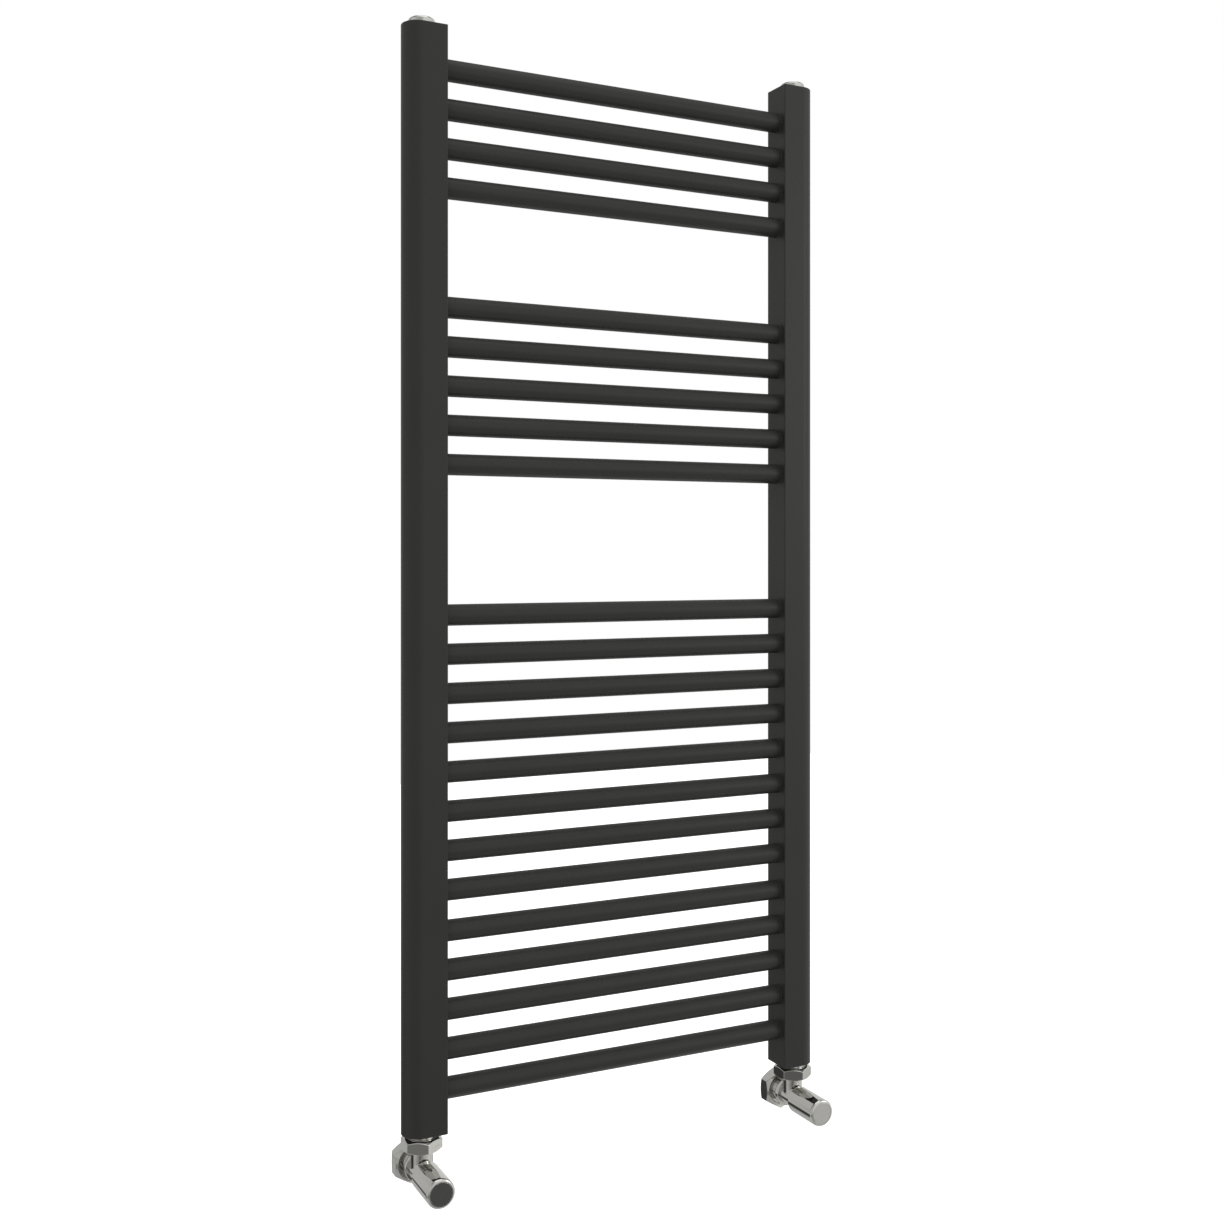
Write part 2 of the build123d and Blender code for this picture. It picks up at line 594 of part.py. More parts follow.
def handle_screw():
    """Screw that clamps the handle to the spindle, with a hexagonal key recess."""
    head_front = HANDLE_WEB_FRONT - HANDLE_SCREW_HEAD_HEIGHT
    head = rod(HANDLE_SCREW_HEAD, head_front, HANDLE_WEB_FRONT)
    head = fillet(head.edges().group_by(Axis.Z)[0], 0.5)
    shank_end = HANDLE_WEB_FRONT + HANDLE_SCREW_LENGTH
    shank = rod(HANDLE_SCREW_DIAMETER - 2 * SPINDLE_GAP, HANDLE_WEB_FRONT, shank_end)
    key = hexagon_bar(HANDLE_SCREW_KEY, head_front - CUT, head_front + HANDLE_SCREW_KEY_DEPTH)
    return along_y(head + shank - key)


def handle_cap():
    """End disc that closes the handle's front."""
    disc = rod(HANDLE_CAP_DIAMETER - 2 * HANDLE_CAP_GAP, HANDLE_FRONT, HANDLE_FRONT + HANDLE_CAP_THICKNESS)
    return along_y(chamfer(disc.edges().group_by(Axis.Z)[0], 0.2))


HUNG_PIECES = {"tailpiece": tailpiece, "union_nut": union_nut}
AXIS_PIECES = {
    "valve_body": valve_body,
    "compression_nut": compression_nut,
    "olive": olive,
    "bonnet": bonnet,
    "spindle": spindle,
    "spindle_seal": spindle_seal,
    "clack": clack,
    "clack_washer": clack_washer,
    "handwheel": handwheel,
    "handle_screw": handle_screw,
    "handle_cap": handle_cap,
}

for piece, make in HUNG_PIECES.items():
    for side in SIDES:
        save(f"{side}_{piece}", under_upright(side, make()))

for piece, make in AXIS_PIECES.items():
    for side in SIDES:
        save(f"{side}_{piece}", on_valve(side, make()))

for side in SIDES:
    save(f"{side}_bonnet_seal", on_valve(side, along_y(bonnet_seal_room(0))))

save("tail_collars", Compound(children=[under_upright(side, tail_collar()) for side in SIDES]))
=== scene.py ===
"""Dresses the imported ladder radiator: painted uprights and rails, chrome plugs and two angled hand valves."""

import logging
import math
from dataclasses import dataclass
from enum import Enum
from typing import Callable, Sequence

import bpy
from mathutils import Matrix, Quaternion, Vector


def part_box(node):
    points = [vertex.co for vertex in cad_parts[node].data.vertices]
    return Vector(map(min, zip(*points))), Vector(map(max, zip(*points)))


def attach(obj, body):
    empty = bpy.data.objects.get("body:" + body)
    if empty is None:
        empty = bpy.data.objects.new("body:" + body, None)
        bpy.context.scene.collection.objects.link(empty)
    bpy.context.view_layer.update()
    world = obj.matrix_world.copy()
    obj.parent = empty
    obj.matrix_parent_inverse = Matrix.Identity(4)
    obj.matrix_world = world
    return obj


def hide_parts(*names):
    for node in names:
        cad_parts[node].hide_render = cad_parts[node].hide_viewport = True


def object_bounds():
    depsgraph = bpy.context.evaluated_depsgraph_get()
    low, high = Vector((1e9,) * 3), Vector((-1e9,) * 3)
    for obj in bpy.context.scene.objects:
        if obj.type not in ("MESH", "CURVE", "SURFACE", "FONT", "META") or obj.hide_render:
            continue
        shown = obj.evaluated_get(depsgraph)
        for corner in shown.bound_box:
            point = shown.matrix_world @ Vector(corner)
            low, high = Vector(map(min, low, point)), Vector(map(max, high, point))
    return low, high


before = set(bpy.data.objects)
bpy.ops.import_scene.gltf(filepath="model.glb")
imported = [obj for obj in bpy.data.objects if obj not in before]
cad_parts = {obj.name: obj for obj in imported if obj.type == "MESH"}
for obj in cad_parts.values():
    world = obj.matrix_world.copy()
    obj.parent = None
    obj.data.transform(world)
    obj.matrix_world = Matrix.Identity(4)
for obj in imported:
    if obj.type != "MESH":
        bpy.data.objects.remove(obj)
cad_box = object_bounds()

LOG = logging.getLogger("radiator")
MM = 0.001
HEX_CORNERS = 1 / math.cos(math.pi / 6)
AXIS_X = Vector((1.0, 0.0, 0.0))
AXIS_Y = Vector((0.0, 1.0, 0.0))
AXIS_Z = Vector((0.0, 0.0, 1.0))


# ---------------------------------------------------------------- names for choices
class Slot(Enum):
    """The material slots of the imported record."""

    ANTHRACITE = "anthracite"
    CHROME = "chrome"
    BRASS = "brass"
    STEEL = "steel"
    RUBBER = "rubber"


class Side(Enum):
    """The two ends of the rails, with the sign of X there."""

    LEFT = -1
    RIGHT = 1

    @property
    def label(self) -> str:
        """The side's name, as the nodes are named."""
        return self.name.lower()


# ---------------------------------------------------------------- modelling
@dataclass(frozen=True)
class Corner:
    """A corner of a turned outline: radius, place along the axis and rounding, in millimetres."""

    r: float
    z: float
    rounding: float = 0.0


class Bench:
    """The modelling bench: primitives, edit-mode operators and modifiers, as by hand.

    The tolerances for merging, cutting and comparing places are in metres. The overcut, by which a cutter reaches
    past the face that it cuts, is in millimetres.
    """

    SEGMENTS = 96
    SMOOTH_ANGLE = math.radians(32)
    FLAT_WEIGHT = 60
    MERGE = 2e-7
    BISECT = 1e-7
    SAME_PLACE = 1e-6
    SLIVER = 0.02 * MM
    OVERCUT = 0.5

    @staticmethod
    def deselect() -> None:
        """Leaves edit mode and selects nothing."""
        if bpy.context.object and bpy.context.object.mode != "OBJECT":
            bpy.ops.object.mode_set(mode="OBJECT")
        bpy.ops.object.select_all(action="DESELECT")

    @staticmethod
    def activate(piece: bpy.types.Object) -> None:
        """Selects one piece alone and makes it active.

        Args:
            piece: The object to work on.
        """
        Bench.deselect()
        piece.select_set(True)
        bpy.context.view_layer.objects.active = piece

    @staticmethod
    def edit_all(piece: bpy.types.Object) -> None:
        """Enters edit mode on a piece with its whole mesh selected.

        Args:
            piece: The object to work on.
        """
        Bench.activate(piece)
        bpy.ops.object.mode_set(mode="EDIT")
        bpy.ops.mesh.select_all(action="SELECT")

    @staticmethod
    def pick(piece: bpy.types.Object, kind: str, test: Callable) -> None:
        """Enters edit mode with only the matching faces, edges or vertices selected.

        Args:
            piece: The object to select on.
            kind: FACE, EDGE or VERT.
            test: Takes the piece's mesh and one element and says whether it is wanted.
        """
        Bench.activate(piece)
        bpy.ops.object.mode_set(mode="EDIT")
        bpy.ops.mesh.select_mode(type=kind)
        bpy.ops.mesh.select_all(action="DESELECT")
        bpy.ops.object.mode_set(mode="OBJECT")
        mesh = piece.data
        elements = {"FACE": mesh.polygons, "EDGE": mesh.edges, "VERT": mesh.vertices}[kind]
        for element in elements:
            element.select = test(mesh, element)
        bpy.ops.object.mode_set(mode="EDIT")

    @staticmethod
    def rounded(corners: Sequence[Corner], closed: bool) -> list[tuple[float, float]]:
        """Replaces each rounded corner of an outline by an arc.

        Args:
            corners: The outline's corners in order.
            closed: Whether the last corner joins the first.

        Returns:
            The outline's points as (radius, place along the axis), in millimetres.
        """
        points = []
        count = len(corners)
        for index, corner in enumerate(corners):
            here = Vector((corner.r, corner.z))
            if corner.rounding == 0.0 or (not closed and index in (0, count - 1)):
                points.append(tuple(here))
                continue
            after = corners[(index + 1) % count]
            back = (Vector((corners[index - 1].r, corners[index - 1].z)) - here).normalized()
            ahead = (Vector((after.r, after.z)) - here).normalized()
            half = back.angle(ahead) / 2
            centre = here + (back + ahead).normalized() * corner.rounding / math.sin(half)
            reach = corner.rounding / math.tan(half)
            start = here + back * reach - centre
            end = here + ahead * reach - centre
            first = math.atan2(start.y, start.x)
            sweep = (math.atan2(end.y, end.x) - first + math.pi) % math.tau - math.pi
            steps = max(3, min(10, round(4 * corner.rounding + 3)))
            for step in range(steps + 1):
                angle = first + sweep * step / steps
                points.append(
                    (centre.x + corner.rounding * math.cos(angle), centre.y + corner.rounding * math.sin(angle))
                )
        return points

    @staticmethod
    def turned(
        name: str,
        corners: Sequence[Corner],
        origin: Vector,
        axis: Vector,
        closed: bool = True,
        segments: int = SEGMENTS,
    ) -> bpy.types.Object:
        """Turns an outline round an axis, as on a lathe.

        Args:
            name: The new piece's name.
            corners: The outline; an open one starts and ends on the axis.
            origin: Where the outline's zero lies on the axis.
            axis: The direction of the axis.
            closed: Whether the outline is a closed loop off the axis.
            segments: Facets in a full turn.

        Returns:
            The turned piece, with its place in its mesh.
        """
        radial = AXIS_Z if axis.x else AXIS_X
        places = [origin + (radial * r + axis * z) * MM for r, z in Bench.rounded(corners, closed)]
        Bench.deselect()
        bpy.ops.mesh.primitive_plane_add(size=0.01, location=(0, 0, 0))
        piece = bpy.context.object
        piece.name = name
        piece.data.name = name
        Bench.edit_all(piece)
        bpy.ops.mesh.select_mode(type="VERT")
        bpy.ops.mesh.merge(type="CENTER")
        bpy.ops.transform.translate(value=places[0])
        for last, place in zip(places, places[1:]):
            bpy.ops.mesh.extrude_vertices_move(TRANSFORM_OT_translate={"value": place - last})
        if closed:
            ends = {0, len(places) - 1}
            Bench.pick(piece, "VERT", lambda mesh, vertex: vertex.index in ends)
            bpy.ops.mesh.edge_face_add()
        bpy.ops.mesh.select_all(action="SELECT")
        bpy.ops.mesh.spin(steps=segments, angle=math.tau, center=origin, axis=axis)
        bpy.ops.mesh.select_all(action="SELECT")
        bpy.ops.mesh.remove_doubles(threshold=Bench.MERGE)
        bpy.ops.mesh.normals_make_consistent(inside=False)
        bpy.ops.object.mode_set(mode="OBJECT")
        return piece

    @staticmethod
    def milled(piece: bpy.types.Object, centre: Vector, first: Vector, axis: Vector, across_flats: float) -> None:
        """Cuts six flats round an axis, as on a spanner nut.

        Args:
            piece: The turned piece to cut.
            centre: A point on the axis.
            first: The outward normal of the first flat.
            axis: The direction of the axis.
            across_flats: Distance between opposite flats, in millimetres.
        """
        for flat in range(6):
            normal = Quaternion(axis, flat * math.tau / 6) @ first
            Bench.edit_all(piece)
            bpy.ops.mesh.bisect(
                plane_co=centre + normal * across_flats / 2 * MM,
                plane_no=normal,
                use_fill=True,
                clear_outer=True,
                threshold=Bench.BISECT,
            )
        bpy.ops.mesh.select_all(action="SELECT")
        bpy.ops.mesh.remove_doubles(threshold=Bench.SLIVER)
        bpy.ops.object.mode_set(mode="OBJECT")

    @staticmethod
    def drilled(piece: bpy.types.Object, start: Vector, end: Vector, diameter: float, sides: int = 48) -> None:
        """Drills a piece from one point to another.

        Args:
            piece: The piece to drill.
            start: One end of the drill's path.
            end: The other end.
            diameter: The hole's diameter in millimetres; across the corners where it has few sides.
            sides: Facets of the hole.
        """
        Bench.deselect()
        bpy.ops.mesh.primitive_cylinder_add(
            vertices=sides,
            radius=diameter / 2 * MM,
            depth=(end - start).length,
            location=(start + end) / 2,
            rotation=AXIS_Z.rotation_difference(end - start).to_euler(),
        )
        Bench.combine(piece, bpy.context.object, "DIFFERENCE")

    @staticmethod
    def combine(piece: bpy.types.Object, tool: bpy.types.Object, operation: str) -> None:
        """Joins or cuts a piece with a tool, which is used up.

        Args:
            piece: The piece that is changed.
            tool: The other solid.
            operation: UNION or DIFFERENCE.
        """
        Bench.activate(piece)
        boolean = piece.modifiers.new("combine", "BOOLEAN")
        boolean.operation = operation
        boolean.solver = "EXACT"
        boolean.object = tool
        bpy.ops.object.modifier_apply(modifier=boolean.name)
        bpy.data.objects.remove(tool, do_unlink=True)

    @staticmethod
    def soften(piece: bpy.types.Object, width: float, steps: int = 3, angle: float = 25.0) -> None:
        """Breaks all sharp edges of a piece.

        Args:
            piece: The piece to bevel.
            width: The bevel's width in millimetres.
            steps: Segments across the bevel.
            angle: The least angle of a sharp edge, in degrees.
        """
        Bench.activate(piece)
        bevel = piece.modifiers.new("soften", "BEVEL")
        bevel.width = width * MM
        bevel.segments = steps
        bevel.limit_method = "ANGLE"
        bevel.angle_limit = math.radians(angle)
        bevel.miter_outer = "MITER_ARC"
        bpy.ops.object.modifier_apply(modifier=bevel.name)

    @staticmethod
    def copy(piece: bpy.types.Object, name: str, shift: Vector) -> bpy.types.Object:
        """Copies a piece with a mesh of its own, and moves the copy's mesh.

        Args:
            piece: The piece to copy.
            name: The copy's name.
            shift: How far the copy's mesh moves.

        Returns:
            The copy.
        """
        Bench.activate(piece)
        bpy.ops.object.duplicate(linked=False)
        twin = bpy.context.object
        twin.name = name
        twin.data.name = name
        Bench.edit_all(twin)
        bpy.ops.transform.translate(value=shift)
        bpy.ops.object.mode_set(mode="OBJECT")
        return twin

    @staticmethod
    def settle(piece: bpy.types.Object) -> None:
        """Moves a piece's place, turn and scale into its mesh.

        Args:
            piece: The piece to settle.
        """
        Bench.activate(piece)
        bpy.ops.object.transform_apply(location=True, rotation=True, scale=True)

    @staticmethod
    def mirrored(piece: bpy.types.Object, name: str, axis: Vector) -> bpy.types.Object:
        """Copies a piece to the other side of the middle plane that an axis stands on.

        Args:
            piece: The piece to copy, settled.
            name: The copy's name.
            axis: The plane's normal.

        Returns:
            The mirrored copy, with its faces pointing outwards.
        """
        twin = Bench.copy(piece, name, Vector((0, 0, 0)))
        Bench.edit_all(twin)
        bpy.ops.transform.resize(value=Vector((1, 1, 1)) - 2 * axis, center_override=(0, 0, 0))
        bpy.ops.mesh.normals_make_consistent(inside=False)
        bpy.ops.object.mode_set(mode="OBJECT")
        return twin

    @staticmethod
    def join(pieces: Sequence[bpy.types.Object]) -> bpy.types.Object:
        """Joins separate solids into one piece.

        Args:
            pieces: The solids; the first gives its name.

        Returns:
            The joined piece.
        """
        Bench.activate(pieces[0])
        for piece in pieces[1:]:
            piece.select_set(True)
        bpy.ops.object.join()
        return pieces[0]

    @staticmethod
    def shade(piece: bpy.types.Object) -> None:
        """Smooths the round faces and keeps the flat ones flat.

        Args:
            piece: The piece to shade.
        """
        Bench.activate(piece)
        bpy.ops.object.shade_smooth_by_angle(angle=Bench.SMOOTH_ANGLE)
        weighted = piece.modifiers.new("flat faces first", "WEIGHTED_NORMAL")
        weighted.keep_sharp = True
        weighted.weight = Bench.FLAT_WEIGHT
        bpy.ops.object.modifier_apply(modifier=weighted.name)


# ---------------------------------------------------------------- shader groups and finishes
class Nodes:
    """Adds and links nodes in one shader tree."""

    def __init__(self, tree: bpy.types.ShaderNodeTree) -> None:
        """Starts an empty tree.

        Args:
            tree: The tree of a material, a world or a group.
        """
        self.tree = tree
        tree.nodes.clear()

    def add(self, kind: str, settings: dict | None = None, inputs: dict | None = None) -> bpy.types.Node:
        """Adds a node.

        Args:
            kind: The node's type, without its ShaderNode prefix.
            settings: Attributes to set.
            inputs: Values for input sockets, or output sockets to link to them, by name or index.

        Returns:
            The new node.
        """
        node = self.tree.nodes.new("ShaderNode" + kind if not kind.startswith("Node") else kind)
        for name, value in (settings or {}).items():
            setattr(node, name, value)
        for name, value in (inputs or {}).items():
            if isinstance(value, bpy.types.NodeSocket):
                self.tree.links.new(value, node.inputs[name])
            else:
                node.inputs[name].default_value = value
        return node

    def math(
        self,
        operation: str,
        first: float | bpy.types.NodeSocket,
        second: float | bpy.types.NodeSocket = 0.0,
        clamp: bool = False,
    ) -> bpy.types.NodeSocket:
        """Adds a Math node.

        Args:
            operation: The operation's name.
            first: A value or an output socket.
            second: A value or an output socket.
            clamp: Whether the result stays from 0 to 1.

        Returns:
            The result's socket.
        """
        return self.add("Math", {"operation": operation, "use_clamp": clamp}, {0: first, 1: second}).outputs[0]


class Groups:
    """The shader groups that several finishes share."""

    @staticmethod
    def start(name: str, inputs: dict[str, float], outputs: Sequence[str]) -> tuple:
        """Starts a group with float sockets.

        Args:
            name: The group's name.
            inputs: The input sockets and their usual values.
            outputs: The output sockets.

        Returns:
            The group tree, its node adder, its input node and its output node.
        """
        tree = bpy.data.node_groups.new(name, "ShaderNodeTree")
        tree.interface.new_socket("Vector", in_out="INPUT", socket_type="NodeSocketVector")
        for socket, value in inputs.items():
            item = tree.interface.new_socket(socket, in_out="INPUT", socket_type="NodeSocketFloat")
            item.default_value = value
        for socket in outputs:
            tree.interface.new_socket(socket, in_out="OUTPUT", socket_type="NodeSocketFloat")
        nodes = Nodes(tree)
        return tree, nodes, nodes.add("NodeGroupInput"), nodes.add("NodeGroupOutput")

    @staticmethod
    def grain() -> bpy.types.ShaderNodeTree:
        """Two sizes of noise: a fine grain and a broad drift, each centred on 0.5.

        Returns:
            The group tree.
        """
        tree, nodes, given, out = Groups.start("Grain", {"Fine": 900.0, "Broad": 6.0}, ("Fine", "Broad"))
        for name, detail in (("Fine", 2.0), ("Broad", 3.0)):
            noise = nodes.add(
                "TexNoise", {}, {"Vector": given.outputs["Vector"], "Scale": given.outputs[name], "Detail": detail}
            )
            tree.links.new(noise.outputs["Fac"], out.inputs[name])
        return tree

    @staticmethod
    def dust() -> bpy.types.ShaderNodeTree:
        """A thin film that settles on faces that look up, broken by noise.

        Returns:
            The group tree.
        """
        tree, nodes, given, out = Groups.start("Dust", {"Amount": 0.1, "Scale": 40.0}, ("Mask",))
        normal = nodes.add("NewGeometry").outputs["Normal"]
        up = nodes.add("SeparateXYZ", {}, {0: normal}).outputs["Z"]
        facing = nodes.math("POWER", nodes.math("MAXIMUM", up, 0.0), 3.0)
        noise = nodes.add(
            "TexNoise", {}, {"Vector": given.outputs["Vector"], "Scale": given.outputs["Scale"], "Detail": 6.0}
        )
        film = nodes.math("MULTIPLY", facing, noise.outputs["Fac"])
        mask = nodes.math("MULTIPLY", film, given.outputs["Amount"], clamp=True)
        tree.links.new(mask, out.inputs["Mask"])
        return tree

    @staticmethod
    def smears() -> bpy.types.ShaderNodeTree:
        """Wiping marks and dried drops on polished metal.

        Returns:
            The group tree.
        """
        tree, nodes, given, out = Groups.start(
            "Smears", {"Amount": 0.5, "Wipe Scale": 60.0, "Drop Scale": 260.0}, ("Mask",)
        )
        stretched = nodes.add(
            "Mapping", {}, {"Vector": given.outputs["Vector"], "Scale": (1.0, 0.25, 2.5), "Rotation": (0.3, 0.5, 0.2)}
        )
        wipe = nodes.add(
            "TexNoise",
            {},
            {"Vector": stretched.outputs[0], "Scale": given.outputs["Wipe Scale"], "Detail": 5.0, "Distortion": 0.6},
        )
        wiped = nodes.add("MapRange", {}, {0: wipe.outputs["Fac"], 1: 0.52, 2: 0.72})
        drops = nodes.add(
            "TexVoronoi", {"feature": "F1"}, {"Vector": given.outputs["Vector"], "Scale": given.outputs["Drop Scale"]}
        )
        ring = nodes.add("MapRange", {}, {0: drops.outputs["Distance"], 1: 0.10, 2: 0.0})
        both = nodes.math("MAXIMUM", wiped.outputs[0], nodes.math("MULTIPLY", ring.outputs[0], 0.5))
        mask = nodes.math("MULTIPLY", both, given.outputs["Amount"], clamp=True)
        tree.links.new(mask, out.inputs["Mask"])
        return tree

    @staticmethod
    def lathe_marks() -> bpy.types.ShaderNodeTree:
        """Fine rings round an axis along Y, as a turning tool leaves.

        Returns:
            The group tree.
        """
        tree, nodes, given, out = Groups.start("Lathe Marks", {"Pitch": 0.0004}, ("Rings",))
        split = nodes.add("SeparateXYZ", {}, {0: given.outputs["Vector"]})
        side = nodes.math("MULTIPLY", split.outputs["X"], split.outputs["X"])
        height = nodes.math("MULTIPLY", split.outputs["Z"], split.outputs["Z"])
        radius = nodes.math("SQRT", nodes.math("ADD", side, height))
        travel = nodes.math("ADD", radius, split.outputs["Y"])
        turns = nodes.math("DIVIDE", travel, given.outputs["Pitch"])
        noise = nodes.add("TexNoise", {"noise_dimensions": "1D"}, {"W": turns, "Scale": 1.0, "Detail": 2.0})
        tree.links.new(noise.outputs["Fac"], out.inputs["Rings"])
        return tree


class Kit:
    """The shared groups, each built once and kept by name."""

    def __init__(self) -> None:
        """Builds every group."""
        self.groups = {
            "grain": Groups.grain(),
            "dust": Groups.dust(),
            "smears": Groups.smears(),
            "lathe marks": Groups.lathe_marks(),
        }

    def place(self, nodes: Nodes, name: str, vector: bpy.types.NodeSocket, values: dict) -> bpy.types.Node:
        """Places a shared group in a material.

        Args:
            nodes: The material's node adder.
            name: The group's key.
            vector: The coordinates that the group reads.
            values: Its other inputs.

        Returns:
            The group node.
        """
        node = nodes.add("Group", {"node_tree": self.groups[name]}, {"Vector": vector})
        for socket, value in values.items():
            node.inputs[socket].default_value = value
        return node


def new_material(name: str) -> tuple[bpy.types.Material, Nodes, bpy.types.Node, bpy.types.NodeSocket]:
    """Starts a material with a Principled shader and Object coordinates.

    Args:
        name: The material's name.

    Returns:
        The material, its node adder, the Principled node and the coordinates' socket.
    """
    material = bpy.data.materials.new(name)
    material.use_nodes = True
    nodes = Nodes(material.node_tree)
    shader = nodes.add("BsdfPrincipled")
    nodes.add("OutputMaterial", {}, {"Surface": shader.outputs[0]})
    place = nodes.add("TexCoord").outputs["Object"]
    return material, nodes, shader, place


def mixed(
    nodes: Nodes, mask: bpy.types.NodeSocket, low: Sequence[float], high: Sequence[float]
) -> bpy.types.NodeSocket:
    """Mixes two colours by a mask.

    Args:
        nodes: The node adder.
        mask: The mask's socket.
        low: The colour where the mask is 0.
        high: The colour where the mask is 1.

    Returns:
        The mixed colour's socket.
    """
    mix = nodes.add("Mix", {"data_type": "RGBA"}, {"Factor": mask})
    mix.inputs[6].default_value = (*low, 1.0)
    mix.inputs[7].default_value = (*high, 1.0)
    return mix.outputs[2]


@dataclass(frozen=True)
class PowderCoat:
    """Satin powder coat: a fine orange peel, a faint drift of tone and a little dust on top."""

    name: str = "anthracite_powder_coat"
    low: tuple[float, float, float] = (0.0175, 0.0175, 0.0160)
    high: tuple[float, float, float] = (0.0215, 0.0215, 0.0200)
    sheen: float = 0.20
    edge_sheen: float = 0.05
    dust: tuple[float, float, float] = (0.11, 0.11, 0.105)
    roughness: tuple[float, float] = (0.36, 0.44)
    peel_scale: float = 700.0
    peel_depth: float = 0.00002

    def build(self, kit: Kit) -> bpy.types.Material:
        """Builds the material.

        Args:
            kit: The shared groups.

        Returns:
            The material.
        """
        material, nodes, shader, place = new_material(self.name)
        facing = nodes.add("LayerWeight", {}, {"Blend": 0.5}).outputs["Facing"]
        sheen = nodes.add("MapRange", {}, {0: facing, 1: 0.55, 2: 1.0, 3: self.sheen, 4: self.edge_sheen})
        nodes.tree.links.new(sheen.outputs[0], shader.inputs["Specular IOR Level"])
        grain = kit.place(nodes, "grain", place, {"Fine": self.peel_scale, "Broad": 9.0})
        dust = kit.place(nodes, "dust", place, {"Amount": 0.25, "Scale": 55.0})
        tone = nodes.add("Mix", {"data_type": "RGBA"}, {"Factor": dust.outputs["Mask"]})
        nodes.tree.links.new(mixed(nodes, grain.outputs["Broad"], self.low, self.high), tone.inputs[6])
        tone.inputs[7].default_value = (*self.dust, 1.0)
        nodes.tree.links.new(tone.outputs[2], shader.inputs["Base Color"])
        satin = nodes.add("MapRange", {}, {0: grain.outputs["Broad"], 3: self.roughness[0], 4: self.roughness[1]})
        rough = nodes.math("ADD", satin.outputs[0], dust.outputs["Mask"])
        nodes.tree.links.new(rough, shader.inputs["Roughness"])
        peel = nodes.add("Bump", {}, {"Height": grain.outputs["Fine"], "Distance": self.peel_depth, "Strength": 0.6})
        nodes.tree.links.new(peel.outputs[0], shader.inputs["Normal"])
        return material


@dataclass(frozen=True)
class Chrome:
    """Polished chrome plating with faint waves, wiping marks and dried drops."""

    name: str = "polished_chrome"
    bright: tuple[float, float, float] = (0.575, 0.570, 0.545)
    dull: tuple[float, float, float] = (0.46, 0.455, 0.435)
    roughness: tuple[float, float] = (0.035, 0.20)
    smears: float = 0.45
    wave_scale: float = 120.0
    wave_depth: float = 0.000012

    def build(self, kit: Kit) -> bpy.types.Material:
        """Builds the material.

        Args:
            kit: The shared groups.

        Returns:
            The material.
        """
        material, nodes, shader, place = new_material(self.name)
        shader.inputs["Metallic"].default_value = 1.0
        smears = kit.place(nodes, "smears", place, {"Amount": self.smears})
        grain = kit.place(nodes, "grain", place, {"Fine": 2500.0, "Broad": self.wave_scale})
        colour = mixed(nodes, smears.outputs["Mask"], self.bright, self.dull)
        nodes.tree.links.new(colour, shader.inputs["Base Color"])
        rough = nodes.add("MapRange", {}, {0: smears.outputs["Mask"], 3: self.roughness[0], 4: self.roughness[1]})
        nodes.tree.links.new(rough.outputs[0], shader.inputs["Roughness"])
        wave = nodes.add("Bump", {}, {"Height": grain.outputs["Broad"], "Distance": self.wave_depth, "Strength": 0.5})
        nodes.tree.links.new(wave.outputs[0], shader.inputs["Normal"])
        return material


@dataclass(frozen=True)
class TurnedMetal:
    """Bare turned metal, with tool marks round an axis along Y and slight tarnish."""

    name: str
    bright: tuple[float, float, float]
    tarnished: tuple[float, float, float]
    axis: tuple[float, float, float]
    roughness: tuple[float, float] = (0.22, 0.38)
    marks_depth: float = 0.00002

    def build(self, kit: Kit) -> bpy.types.Material:
        """Builds the material.

        Args:
            kit: The shared groups.

        Returns:
            The material.
        """
        material, nodes, shader, place = new_material(self.name)
        shader.inputs["Metallic"].default_value = 1.0
        centred = nodes.add("Mapping", {}, {"Vector": place, "Location": [-value for value in self.axis]})
        marks = kit.place(nodes, "lathe marks", centred.outputs[0], {"Pitch": 0.00035})
        grain = kit.place(nodes, "grain", place, {"Fine": 1800.0, "Broad": 150.0})
        colour = mixed(nodes, grain.outputs["Broad"], self.bright, self.tarnished)
        nodes.tree.links.new(colour, shader.inputs["Base Color"])
        rough = nodes.add("MapRange", {}, {0: marks.outputs["Rings"], 3: self.roughness[0], 4: self.roughness[1]})
        nodes.tree.links.new(rough.outputs[0], shader.inputs["Roughness"])
        cut = nodes.add("Bump", {}, {"Height": marks.outputs["Rings"], "Distance": self.marks_depth, "Strength": 0.5})
        nodes.tree.links.new(cut.outputs[0], shader.inputs["Normal"])
        return material


@dataclass(frozen=True)
class Rubber:
    """Black moulded rubber with a faint bloom."""

    name: str = "black_rubber"
    black: tuple[float, float, float] = (0.012, 0.012, 0.012)
    bloom: tuple[float, float, float] = (0.04, 0.04, 0.038)

    def build(self, kit: Kit) -> bpy.types.Material:
        """Builds the material.

        Args:
            kit: The shared groups.

        Returns:
            The material.
        """
        material, nodes, shader, place = new_material(self.name)
        grain = kit.place(nodes, "grain", place, {"Fine": 3000.0, "Broad": 200.0})
        colour = mixed(nodes, grain.outputs["Broad"], self.black, self.bloom)
        nodes.tree.links.new(colour, shader.inputs["Base Color"])
        rough = nodes.add("MapRange", {}, {0: grain.outputs["Broad"], 3: 0.55, 4: 0.75})
        nodes.tree.links.new(rough.outputs[0], shader.inputs["Roughness"])
        bump = nodes.add("Bump", {}, {"Height": grain.outputs["Fine"], "Distance": 0.00001, "Strength": 0.5})
        nodes.tree.links.new(bump.outputs[0], shader.inputs["Normal"])
        return material


